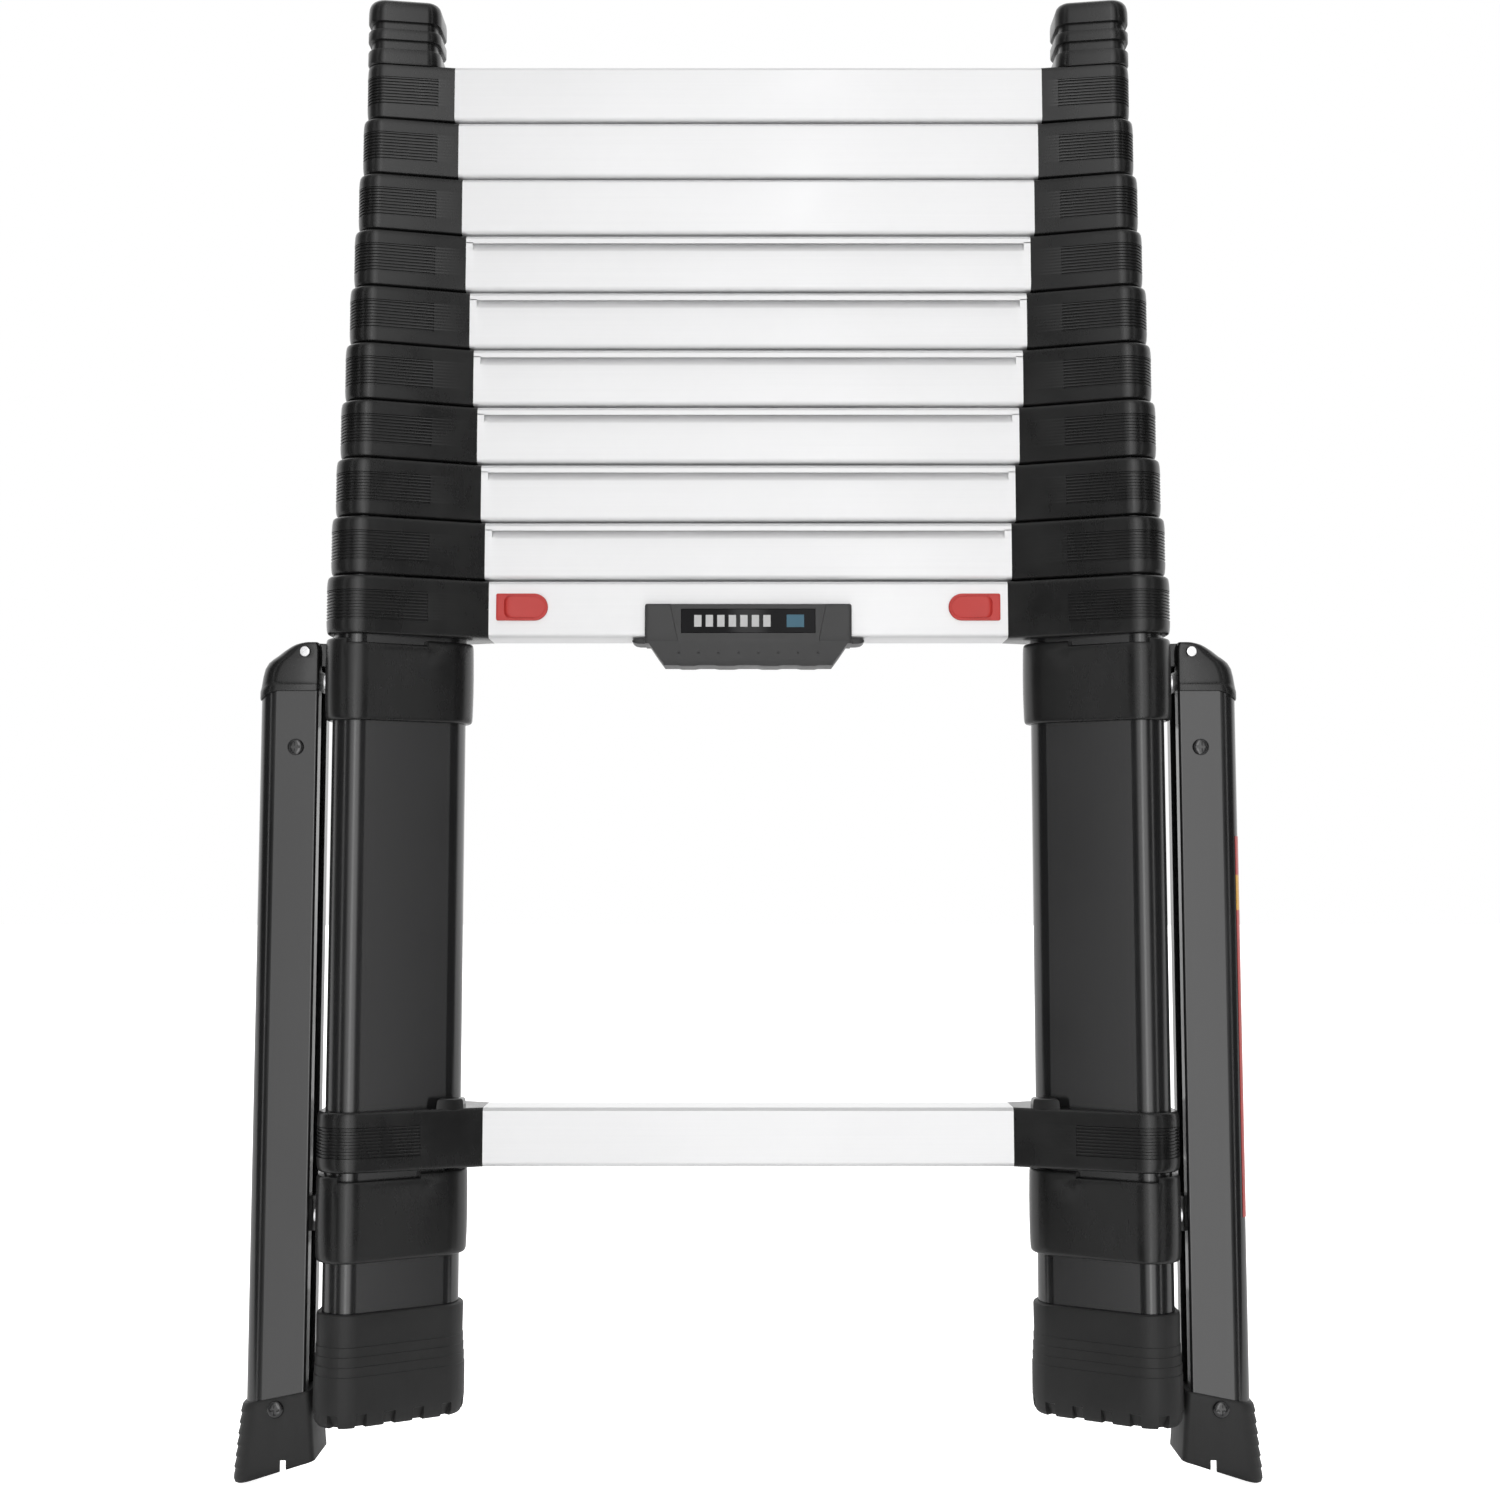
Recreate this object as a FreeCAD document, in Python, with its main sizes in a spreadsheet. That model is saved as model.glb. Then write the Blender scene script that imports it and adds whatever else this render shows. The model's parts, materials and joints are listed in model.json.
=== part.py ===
import FreeCAD, Part
import math
import os
import re
import Sketcher

# Telescoping ladder with two folding outriggers, closed and upright.
#
# +Z is up, +X is to the user's right and -Y faces the user. The origin is on the floor, midway
# between the outrigger tips. Each stile is a nest of ten tubes whose section is a rounded triangle,
# apex towards the middle of the ladder. Section 10 is the fixed outer tube, section 1 the smallest.
# Rung k sits on top of tube k, and rung 11 is at the foot of the outer tube.

SECTIONS = 10
BOTTOM_RUNG = 11
GROOVED_RUNGS = range(4, 10)

DIMENSIONS = {
    # levels, from the tips of the stowed outriggers
    "sole_level": 37.0,
    "bottom_rung_height": 170.0,
    "rung_pitch_open": 300.0,
    "rung_pitch_closed": 34.1,
    # rungs
    "rung_height": 33.0,
    "rung_depth": 31.0,
    "rung_wall": 1.8,
    "rung_corner": 3.0,
    "rung_reach": 149.9,
    "rung_reach_step": 2.62,
    "groove_drop": 3.6,
    "groove_height": 4.4,
    "groove_cut": 1.1,
    "groove_inset": 4.0,
    # stile tubes: outer flat face, sharp apex and corner radius of the outer tube, change per section
    "tube_face": 236.6,
    "tube_apex": 150.6,
    "tube_corner": 14.0,
    "face_step": 1.75,
    "apex_step": 3.5,
    "corner_step": 0.9,
    "tube_wall": 1.35,
    "flare": 0.57735,
    "section_overlap": 60.0,
    # moulded collars round the tubes
    "collar_wall": 4.5,
    "collar_lip": 1.5,
    "spigot_length": 12.0,
    "spigot_gap": 0.2,
    "cap_height": 42.0,
    "cap_dome": 8.0,
    "cap_plug": 15.0,
    "cap_near": 182.5,
    "cap_corner": 9.0,
    # lock pins
    "pin_radius": 3.5,
    "pin_gap": 0.35,
    "pin_length": 30.0,
    "hole_reach": 5.0,
    "pin_nose": 1.0,
    "pin_head_radius": 5.5,
    "pin_head_length": 2.0,
    "lock_bolt_length": 41.6,
    # release sliders
    "slider_near": 115.6,
    "slider_far": 145.4,
    "slider_low": 447.0,
    "slider_high": 462.6,
    "slider_plate": 2.0,
    "slider_gap": 0.3,
    "slider_round": 7.7,
    "slider_travel": 9.0,
    "thumb_inset": 4.0,
    "thumb_rim": 1.8,
    "thumb_height": 2.6,
    "stem_near": 128.0,
    "stem_far": 134.0,
    "stem_half": 3.0,
    "stem_end": 2.0,
    "thumb_round": 5.5,
    # release tabs on the bottom rung's connectors
    "tab_near": 160.5,
    "tab_far": 175.0,
    "tab_front_near": 18.5,
    "tab_front_far": 23.5,
    "tab_back_near": 8.0,
    "tab_back_far": 15.2,
    "tab_height": 5.5,
    # brackets and stile feet
    "upper_bracket_low": 388.0,
    "upper_bracket_high": 433.0,
    "lower_bracket_low": 88.0,
    "lower_bracket_high": 135.0,
    "root_depth": 1.0,
    "lug_half": 8.0,
    "lug_round": 6.0,
    "lug_tip_round": 5.8,
    "lug_drop": 9.0,
    "lug_rise": 4.0,
    "latch_reach": 12.0,
    "latch_half": 6.0,
    "latch_round": 5.0,
    "latch_rise": 12.0,
    "latch_drop": 15.0,
    "rivet_radius": 2.0,
    "rivet_head": 4.5,
    "rivet_height": 1.4,
    "rivet_spread": 20.0,
    "foot_height": 60.6,
    "foot_wall": 4.0,
    "foot_floor": 8.0,
    # carry handle
    "handle_half": 59.4,
    "handle_foot_half": 48.5,
    "handle_low": 420.5,
    "handle_bend": 434.0,
    "handle_high": 456.0,
    "handle_plate": 8.0,
    "handle_back": 6.0,
    "handle_shell": 3.0,
    "wing_half": 67.0,
    "window_half": 38.5,
    "window_low": 439.0,
    "window_high": 453.0,
    "window_cut": 1.5,
    "plate_gap": 0.1,
    # outriggers
    "pivot_reach": 255.0,
    "pivot_level": 429.0,
    "pivot_radius": 2.4,
    "pivot_gap": 0.05,
    "pivot_head_radius": 3.0,
    "pivot_head_length": 1.2,
    "pivot_sink": 0.2,
    "leg_near": 247.0,
    "leg_far": 281.5,
    "leg_half": 17.0,
    "leg_wall": 2.5,
    "leg_top": 406.5,
    "leg_round": 10.5,
    "leg_edge": 1.5,
    "channel_half": 8.0,
    "overcut": 1.0,
    # outrigger heads
    "head_half": 18.5,
    "head_far": 284.5,
    "head_skirt": 6.5,
    "head_rise": 5.5,
    "head_round": 21.0,
    "head_plug": 46.0,
    "plug_inset": 9.5,
    "plug_gap": 0.3,
    "fork_reach": 9.0,
    "fork_drop": 11.0,
    "fork_rise": 7.0,
    "fork_gap": 0.4,
    # outrigger feet, levels from the floor
    "leg_foot_half": 19.0,
    "collar_inner": 244.0,
    "collar_inner_top": 52.0,
    "collar_outer": 283.8,
    "collar_outer_top": 44.0,
    "shoulder_outer": 284.8,
    "toe_outer": 287.5,
    "toe_top": 4.0,
    "sole_outer": 286.0,
    "sole_inner": 279.0,
    "heel_inner": 241.0,
    "heel_level": 13.5,
    "waist_inner": 242.5,
    "waist_level": 29.0,
    "leg_seat_top": 57.0,
    "notch_near": 256.6,
    "notch_far": 260.0,
    "notch_top": 19.0,
    # outrigger screws
    "upper_screw_reach": 259.3,
    "lower_screw_reach": 263.0,
    "screw_radius": 2.0,
    "screw_length": 8.0,
    "screw_head_radius": 4.7,
    "screw_head_length": 1.8,
    "upper_screw_level": 374.0,
    "lower_screw_level": 5.0,
}

doc = FreeCAD.newDocument("telescoping_ladder")
sheet = doc.addObject("Spreadsheet::Sheet", "Sheet")
for row, (alias, size) in enumerate(DIMENSIONS.items(), 1):
    sheet.set(f"A{row}", alias)
    sheet.set(f"B{row}", str(size))
    sheet.setAlias(f"B{row}", alias)
doc.recompute()

subparts = []


# ---- shared helpers ----------------------------------------------------------------------------

def bound(text):
    """The expression with every dimension's alias written as a reference to the sheet."""
    def reference(match):
        word = match.group()
        return f"Sheet.{word}" if word in DIMENSIONS else word
    return re.sub(r"[a-z_]+", reference, text)


def number(text):
    return float(sheet.evalExpression(bound(text)))


def bind(feature, prop, text):
    feature.setExpression(prop, bound(text))


def keep(shape_object, label):
    """Names an object as one finished sub-part."""
    shape_object.Label = label
    subparts.append(shape_object)
    return shape_object


def pair(right, label):
    """The right-hand piece and its mirror image, as one node of two solids."""
    left = doc.addObject("Part::Mirroring", f"{label}_mirror")
    left.Source = right
    left.Normal = (1, 0, 0)
    both = doc.addObject("Part::Compound", f"{label}_pair")
    both.Links = [right, left]
    return keep(both, label)


def right_and_left(right, label):
    """The right-hand piece and its mirror image, as two nodes."""
    left = doc.addObject("Part::Mirroring", f"{label}_mirror")
    left.Source = right
    left.Normal = (1, 0, 0)
    keep(left, f"{label}_left")
    keep(right, f"{label}_right")


def new_body(name):
    return doc.addObject("PartDesign::Body", name)


def new_sketch(body, name, role, offset):
    """An empty sketch on one of the body's origin planes, moved along its normal by an offset."""
    sketch = body.newObject("Sketcher::SketchObject", name)
    support = next(plane for plane in body.Origin.OriginFeatures if plane.Role == role)
    sketch.AttachmentSupport = [(support, "")]
    sketch.MapMode = "FlatFace"
    bind(sketch, "AttachmentOffset.Base.z", offset)
    return sketch


def place_point(sketch, geometry, point, corner):
    """Ties one sketch point to the sheet in both directions."""
    directions = (("DistanceX", -2), ("DistanceY", -1))
    for (kind, axis), text in zip(directions, corner):
        value = number(text)
        if abs(value) < 1e-9:
            sketch.addConstraint(Sketcher.Constraint("PointOnObject", geometry, point, axis))
            continue
        constraint = Sketcher.Constraint(kind, -1, 1, geometry, point, value)
        index = sketch.addConstraint(constraint)
        bind(sketch, f"Constraints[{index}]", text)


def outline(body, name, role, corners, offset="0"):
    """A closed outline of straight lines through the corners."""
    sketch = new_sketch(body, name, role, offset)
    points = [FreeCAD.Vector(number(across), number(along), 0) for across, along in corners]
    count = len(points)
    for index, point in enumerate(points):
        sketch.addGeometry(Part.LineSegment(point, points[(index + 1) % count]))
    for index in range(count):
        following = (index + 1) % count
        sketch.addConstraint(Sketcher.Constraint("Coincident", index, 2, following, 1))
    for index, corner in enumerate(corners):
        place_point(sketch, index, 1, corner)
    return sketch


def ring(body, name, role, centre, radius, offset="0"):
    """A circle of a given centre and radius."""
    sketch = new_sketch(body, name, role, offset)
    middle = FreeCAD.Vector(number(centre[0]), number(centre[1]), 0)
    sketch.addGeometry(Part.Circle(middle, FreeCAD.Vector(0, 0, 1), number(radius)))
    index = sketch.addConstraint(Sketcher.Constraint("Radius", 0, number(radius)))
    bind(sketch, f"Constraints[{index}]", radius)
    place_point(sketch, 0, 3, centre)
    return sketch


def pad(body, sketch, length, symmetric=False, backwards=False):
    feature = body.newObject("PartDesign::Pad", f"{sketch.Name}_pad")
    feature.Profile = sketch
    bind(feature, "Length", length)
    if symmetric:
        feature.SideType = "Symmetric"
    feature.Reversed = backwards
    doc.recompute()
    return feature


def pocket(body, sketch, length, symmetric=False, backwards=False):
    """Cuts against the sketch's normal, or along it when backwards, and must remove material."""
    before = body.Shape.Volume
    feature = body.newObject("PartDesign::Pocket", f"{sketch.Name}_cut")
    feature.Profile = sketch
    bind(feature, "Length", length)
    if symmetric:
        feature.SideType = "Symmetric"
    feature.Reversed = backwards
    doc.recompute()
    if feature.Shape.Volume >= before - 1e-3:
        raise RuntimeError(f"{feature.Name} cuts nothing")
    return feature


def fillet(body, feature, radius, chosen):
    """Rounds the edges of the feature that the test chooses."""
    names = [f"Edge{index}" for index, edge in enumerate(feature.Shape.Edges, 1) if chosen(edge)]
    if not names:
        raise RuntimeError(f"no edges to round on {feature.Name}")
    rounded = body.newObject("PartDesign::Fillet", f"{feature.Name}_round")
    rounded.Base = (feature, names)
    bind(rounded, "Radius", radius)
    doc.recompute()
    return rounded


def runs_along(edge, axis):
    """True for a straight edge parallel to X (0), Y (1) or Z (2)."""
    if len(edge.Vertexes) != 2:
        return False
    run = edge.Vertexes[1].Point - edge.Vertexes[0].Point
    return abs(abs(run[axis]) - run.Length) < 1e-6 and run.Length > 0.5


def stands_at(corners):
    """A test for upright edges that stand on any of the corners."""
    places = [(number(across), number(along)) for across, along in corners]

    def chosen(edge):
        if not runs_along(edge, 2):
            return False
        foot = edge.Vertexes[0].Point
        return any(abs(foot.x - x) + abs(foot.y - y) < 1e-4 for x, y in places)
    return chosen


def prism(body, name, corners, low, high, rounded=None, radius=None):
    """An upright block between two levels, with chosen corners rounded."""
    sketch = outline(body, name, "XY_Plane", corners, low)
    block = pad(body, sketch, f"({high}) - ({low})")
    if rounded:
        block = fillet(body, block, radius, stands_at(rounded))
    return block


def well(body, name, corners, low, high, rounded=None, radius=None):
    """An upright pocket between two levels, with chosen corners rounded."""
    sketch = outline(body, name, "XY_Plane", corners, high)
    hollow = pocket(body, sketch, f"({high}) - ({low})")
    if rounded:
        hollow = fillet(body, hollow, radius, stands_at(rounded))
    return hollow


def cross_hole(body, name, centre, radius, front, depth):
    """A round hole along +Y that starts at a distance in front of the middle plane."""
    return pocket(body, ring(body, name, "XZ_Plane", centre, radius, front), depth)


def rod(name, radius, length, direction, start):
    """A Part cylinder from a start point, along X or Y."""
    turn = {"X": FreeCAD.Rotation(FreeCAD.Vector(0, 1, 0), 90),
            "Y": FreeCAD.Rotation(FreeCAD.Vector(1, 0, 0), -90)}[direction]
    cylinder = doc.addObject("Part::Cylinder", name)
    cylinder.Placement = FreeCAD.Placement(FreeCAD.Vector(), turn)
    bind(cylinder, "Radius", radius)
    bind(cylinder, "Height", length)
    for axis, text in zip("xyz", start):
        bind(cylinder, f"Placement.Base.{axis}", text)
    return cylinder


def joined(name, pieces):
    fusion = doc.addObject("Part::MultiFuse", name)
    fusion.Shapes = pieces
    return fusion


# ---- dimensions that follow from the section number --------------------------------------------

def above_sole(alias):
    return f"(sole_level + {alias})"


def rung_top(rung):
    if rung == BOTTOM_RUNG:
        return "(sole_level + bottom_rung_height)"
    steps = SECTIONS - rung
    return f"(sole_level + bottom_rung_height + rung_pitch_open + {steps} * rung_pitch_closed)"


def rung_bottom(rung):
    return f"({rung_top(rung)} - rung_height)"


def rung_end(rung):
    steps = max(SECTIONS - rung, 0)
    return f"(rung_reach + {steps} * rung_reach_step)"


def pin_level(rung):
    return f"({rung_top(rung)} - rung_height / 2)"


def tube_face(section, grow="0"):
    return f"(tube_face - {SECTIONS - section} * face_step + {grow})"


def tube_apex(section, grow="0"):
    return f"(tube_apex + {SECTIONS - section} * apex_step - 2 * ({grow}))"


def tube_corner(section, grow="0"):
    return f"(tube_corner - {SECTIONS - section} * corner_step + {grow})"


def tube_tip(section):
    """Where the rounded apex of a tube really ends."""
    return f"({tube_apex(section)} + {tube_corner(section)})"


def rounded_triangle(body, name, section, grow, level):
    """A tube's section, grown outwards by a wall or shrunk by a gap, as three arcs and three lines."""
    sketch = new_sketch(body, name, "XY_Plane", level)
    face, apex = tube_face(section, grow), tube_apex(section, grow)
    radius = tube_corner(section, grow)
    half = f"(({face} - {apex}) * flare - {radius} / flare)"
    centres = [(f"{apex} + 2 * {radius}", "0"), (f"{face} - {radius}", f"-{half}"),
               (f"{face} - {radius}", half)]
    spots = [FreeCAD.Vector(number(across), number(along), 0) for across, along in centres]
    size = number(radius)
    turns = [math.radians(angle) for angle in (120, 240, 360)]
    for spot, turn in zip(spots, turns):
        circle = Part.Circle(spot, FreeCAD.Vector(0, 0, 1), size)
        sketch.addGeometry(Part.ArcOfCircle(circle, turn, turn + math.radians(120)))
    for index, turn in enumerate(turns):
        end = turn + math.radians(120)
        out = FreeCAD.Vector(math.cos(end), math.sin(end), 0) * size
        sketch.addGeometry(Part.LineSegment(spots[index] + out, spots[(index + 1) % 3] + out))
    for index, centre in enumerate(centres):
        sketch.addConstraint(Sketcher.Constraint("Tangent", index, 2, index + 3, 1))
        sketch.addConstraint(Sketcher.Constraint("Tangent", index + 3, 2, (index + 1) % 3, 1))
        place_point(sketch, index, 3, centre)
        reference = sketch.addConstraint(Sketcher.Constraint("Radius", index, size))
        bind(sketch, f"Constraints[{reference}]", radius)
    return sketch


def sleeve(body, name, section, grow, low, high):
    """An upright block of a tube's section."""
    return pad(body, rounded_triangle(body, name, section, grow, low), f"({high}) - ({low})")


def bore_out(body, name, section, grow, low, high):
    """An upright pocket of a tube's section."""
    return pocket(body, rounded_triangle(body, name, section, grow, high), f"({high}) - ({low})")


def upright_end_faces(feature):
    flat = [index for index, face in enumerate(feature.Shape.Faces, 1)
            if abs(abs(face.normalAt(0, 0).z) - 1) < 1e-6]
    return [f"Face{index}" for index in flat]


def hollow_out(body, feature, faces, wall):
    """Leaves a wall inside the outline and opens the listed faces."""
    shell = body.newObject("PartDesign::Thickness", f"{feature.Name}_shell")
    shell.Base = (feature, faces)
    bind(shell, "Value", wall)
    shell.Reversed = True
    doc.recompute()
    return shell


# ---- telescoping sections ----------------------------------------------------------------------

def make_tubes(section, label):
    body = new_body(f"tube_{section}")
    high = f"({rung_top(section)} - collar_lip)"
    if section == SECTIONS:
        low = above_sole("foot_floor")
    else:
        low = f"({high} - rung_pitch_open - section_overlap)"
    block = sleeve(body, f"tube_{section}_outline", section, "0", low, high)
    hollow_out(body, block, upright_end_faces(block), "tube_wall")
    inside = f"{tube_tip(section)} + hole_reach"
    hole = "pin_radius + pin_gap"
    if section > 1:
        own = ring(body, f"tube_{section}_pin_hole", "YZ_Plane", ("0", pin_level(section)), hole)
        pocket(body, own, inside, backwards=True)
    if section < SECTIONS:
        travel = "(rung_pitch_open - rung_pitch_closed)"
        catch_level = f"({pin_level(section + 1)} - {travel})"
        catch = ring(body, f"tube_{section}_catch", "YZ_Plane", ("0", catch_level), hole)
        pocket(body, catch, inside, backwards=True)
    pair(body, label)


def make_rung(rung):
    body = new_body(f"rung_{rung}_body")
    low, high = rung_bottom(rung), rung_top(rung)
    half = "rung_depth / 2"
    end = rung_end(rung)
    section = outline(body, f"rung_{rung}_section", "YZ_Plane",
                      [(f"-{half}", low), (half, low), (half, high), (f"-{half}", high)])
    bar = pad(body, section, f"2 * {end}", symmetric=True)
    bar = fillet(body, bar, "rung_corner", lambda edge: runs_along(edge, 0))
    ends = [f"Face{index}" for index, face in enumerate(bar.Shape.Faces, 1)
            if abs(abs(face.normalAt(0, 0).x) - 1) < 1e-6]
    hollow_out(body, bar, ends, "rung_wall")
    if rung in GROOVED_RUNGS:
        reach = f"({end} - groove_inset)"
        top = f"({high} - groove_drop)"
        bottom = f"({top} - groove_height)"
        groove = outline(body, f"rung_{rung}_groove", "XZ_Plane",
                         [(f"-{reach}", bottom), (reach, bottom), (reach, top), (f"-{reach}", top)],
                         half)
        pocket(body, groove, "groove_cut")
    if rung == SECTIONS:
        for side, sign in (("right", ""), ("left", "-")):
            near = f"{sign}(stem_near - slider_travel - pin_gap)"
            far = f"{sign}(stem_far + pin_gap)"
            bottom = f"({pin_level(rung)} - stem_half - pin_gap)"
            top = f"({pin_level(rung)} + stem_half + pin_gap)"
            slot = outline(body, f"slot_{side}", "XZ_Plane",
                           [(near, bottom), (far, bottom), (far, top), (near, top)], half)
            pocket(body, slot, "2 * rung_wall")
    keep(body, f"rung_{rung}")


def collar_outline(rung, section):
    """Plan of a connector: round the tube outside, flush with the rung's end inside."""
    end, half = rung_end(rung), "rung_depth / 2"
    face = tube_face(section, "collar_wall")
    radius = tube_corner(section, "collar_wall")
    across = f"({tube_face(section)} - {tube_corner(section)} - {end})"
    depth = f"({tube_face(section)} - {tube_apex(section)})"
    centre = f"({depth} * flare - {tube_corner(section)} / flare)"
    rise = f"({centre} - {half})"
    slant = f"(atan({rise} / {across}) + asin({radius} / sqrt({rise}^2 + {across}^2)))"
    corner = f"({half} + tan{slant} * ({face} - {end}))"
    return [(end, f"-{half}"), (face, f"-{corner}"), (face, corner), (end, half)]


def make_connectors(rung):
    section = min(rung, SECTIONS)
    name = f"connector_{rung}"
    body = new_body(name)
    low, high = rung_bottom(rung), rung_top(rung)
    corners = collar_outline(rung, section)
    prism(body, f"{name}_outline", corners, low, high, corners[1:3],
          tube_corner(section, "collar_wall"))
    spigot_half = "(rung_depth / 2 - rung_wall - spigot_gap)"
    near = f"({rung_end(rung)} - spigot_length)"
    spigot = [(near, f"-{spigot_half}"), (rung_end(rung), f"-{spigot_half}"),
              (rung_end(rung), spigot_half), (near, spigot_half)]
    inner_low = f"({low} + rung_wall + spigot_gap)"
    inner_high = f"({high} - rung_wall - spigot_gap)"
    block = prism(body, f"{name}_spigot", spigot, inner_low, inner_high)
    fillet(body, block, "rung_corner - rung_wall",
           lambda edge: runs_along(edge, 0) and edge.CenterOfMass.x < number(rung_end(rung)))
    seat_high = high if rung == BOTTOM_RUNG else f"({high} - collar_lip)"
    bore_out(body, f"{name}_seat", section, "0", low, seat_high)
    if rung != BOTTOM_RUNG:
        bore_out(body, f"{name}_mouth", section, "-tube_wall", seat_high, high)
    if 1 < rung < BOTTOM_RUNG:
        bore = ring(body, f"{name}_bore", "YZ_Plane", ("0", pin_level(rung)),
                    "pin_radius + pin_gap")
        pocket(body, bore, f"{tube_tip(section)} + hole_reach", backwards=True)
    if rung == BOTTOM_RUNG:
        tab = [("tab_near", "-tab_front_near"), ("tab_far", "-tab_front_far"),
               ("tab_far", "-tab_back_far"), ("tab_near", "-tab_back_near")]
        prism(body, f"{name}_tab", tab, high, f"({high} + tab_height)")
    pair(body, f"connectors_{rung}")


def make_lock_pins(section):
    """Sprung pins, drawn back against the tube that slides past them."""
    nose = f"({tube_tip(section)} + pin_nose)"
    start = (f"{nose} - pin_length", "0", pin_level(section))
    shank = rod(f"pin_{section}_shank", "pin_radius", "pin_length", "X", start)
    head = rod(f"pin_{section}_head", "pin_head_radius", "pin_head_length", "X", start)
    pair(joined(f"pin_{section}", [shank, head]), f"lock_pins_{section}")


def make_top_caps():
    """Grips on top of the first section, shaped like the outer part of the connector below."""
    body = new_body("cap")
    low = rung_top(1)
    root, shoulder = collar_outline(1, 1)[:2]
    half = (f"(rung_depth / 2 + (-({shoulder[1]}) - rung_depth / 2)"
            f" * (cap_near - {root[0]}) / ({shoulder[0]} - {root[0]}))")
    corners = [("cap_near", f"-{half}"), shoulder, (shoulder[0], shoulder[1][1:]),
               ("cap_near", half)]
    sketch = outline(body, "cap_outline", "XY_Plane", corners, low)
    block = pad(body, sketch, "cap_height")
    block = fillet(body, block, tube_corner(1, "collar_wall"), stands_at(corners[1:3]))
    block = fillet(body, block, "cap_corner", stands_at([corners[0], corners[3]]))
    crown = number(f"{low} + cap_height")
    fillet(body, block, "cap_dome", lambda edge: abs(edge.CenterOfMass.z - crown) < 1e-4)
    sleeve(body, "cap_plug", 1, "(-tube_wall - spigot_gap)", f"({low} - cap_plug)", low)
    pair(body, "top_caps")


# ---- base: brackets, feet, handle --------------------------------------------------------------

def bracket_body(name, low, high):
    """A collar round the outer tube with two rivet holes in its flat side."""
    body = new_body(name)
    sleeve(body, f"{name}_outline", SECTIONS, "collar_wall", low, high)
    return body


def finish_bracket(body, name, low, high):
    bore_out(body, f"{name}_seat", SECTIONS, "0", low, high)
    face = tube_face(SECTIONS, "collar_wall")
    for side, sign in (("rear", ""), ("front", "-")):
        centre = (f"{sign}rivet_spread", f"({low} + {high}) / 2")
        hole = ring(body, f"{name}_{side}_rivet_hole", "YZ_Plane", centre, "rivet_radius", face)
        pocket(body, hole, "collar_wall")


def make_upper_brackets():
    low, high = above_sole("upper_bracket_low"), above_sole("upper_bracket_high")
    body = bracket_body("upper_bracket", low, high)
    level = above_sole("pivot_level")
    root = f"({tube_face(SECTIONS)} + root_depth)"
    end = "(pivot_reach + lug_round)"
    lug = outline(body, "lug", "XZ_Plane",
                  [(root, f"{level} - lug_drop"), (end, f"{level} - lug_round"),
                   (end, f"{level} + lug_round"), (root, f"{level} + lug_rise")])
    lug_pad = pad(body, lug, "2 * lug_half", symmetric=True)
    tip = number(end)
    fillet(body, lug_pad, "lug_tip_round",
           lambda edge: runs_along(edge, 1) and abs(edge.CenterOfMass.x - tip) < 1e-4)
    finish_bracket(body, "upper_bracket", low, high)
    cross_hole(body, "lug_hole", ("pivot_reach", level), "pivot_radius", "2 * lug_half",
               "4 * lug_half")
    pair(body, "upper_brackets")


def make_lower_brackets():
    low, high = above_sole("lower_bracket_low"), above_sole("lower_bracket_high")
    body = bracket_body("lower_bracket", low, high)
    root = f"({tube_face(SECTIONS)} + root_depth)"
    end = f"({root} + collar_wall + latch_reach)"
    latch = [(root, "-latch_half"), (end, "-latch_half"), (end, "latch_half"), (root, "latch_half")]
    prism(body, "latch", latch, f"({low} + latch_rise)", f"({high} - latch_drop)", latch[1:3],
          "latch_round")
    finish_bracket(body, "lower_bracket", low, high)
    pair(body, "lower_brackets")


def make_bracket_rivets():
    face = tube_face(SECTIONS, "collar_wall")
    rivets = []
    for bracket in ("upper_bracket", "lower_bracket"):
        level = f"(sole_level + ({bracket}_low + {bracket}_high) / 2)"
        for side, sign in (("rear", ""), ("front", "-")):
            name = f"{bracket}_{side}_rivet"
            offset = f"{sign}rivet_spread"
            shank = rod(f"{name}_shank", "rivet_radius", "collar_wall", "X",
                        (f"{face} - collar_wall", offset, level))
            head = rod(f"{name}_head", "rivet_head", "rivet_height", "X", (face, offset, level))
            rivets.append(joined(name, [shank, head]))
    right = doc.addObject("Part::Compound", "rivets_right")
    right.Links = rivets
    pair(right, "bracket_rivets")


def make_stile_feet():
    body = new_body("stile_foot")
    high = above_sole("foot_height")
    sleeve(body, "foot_outline", SECTIONS, "foot_wall", "sole_level", high)
    bore_out(body, "foot_seat", SECTIONS, "0", above_sole("foot_floor"), high)
    pair(body, "stile_feet")


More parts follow.
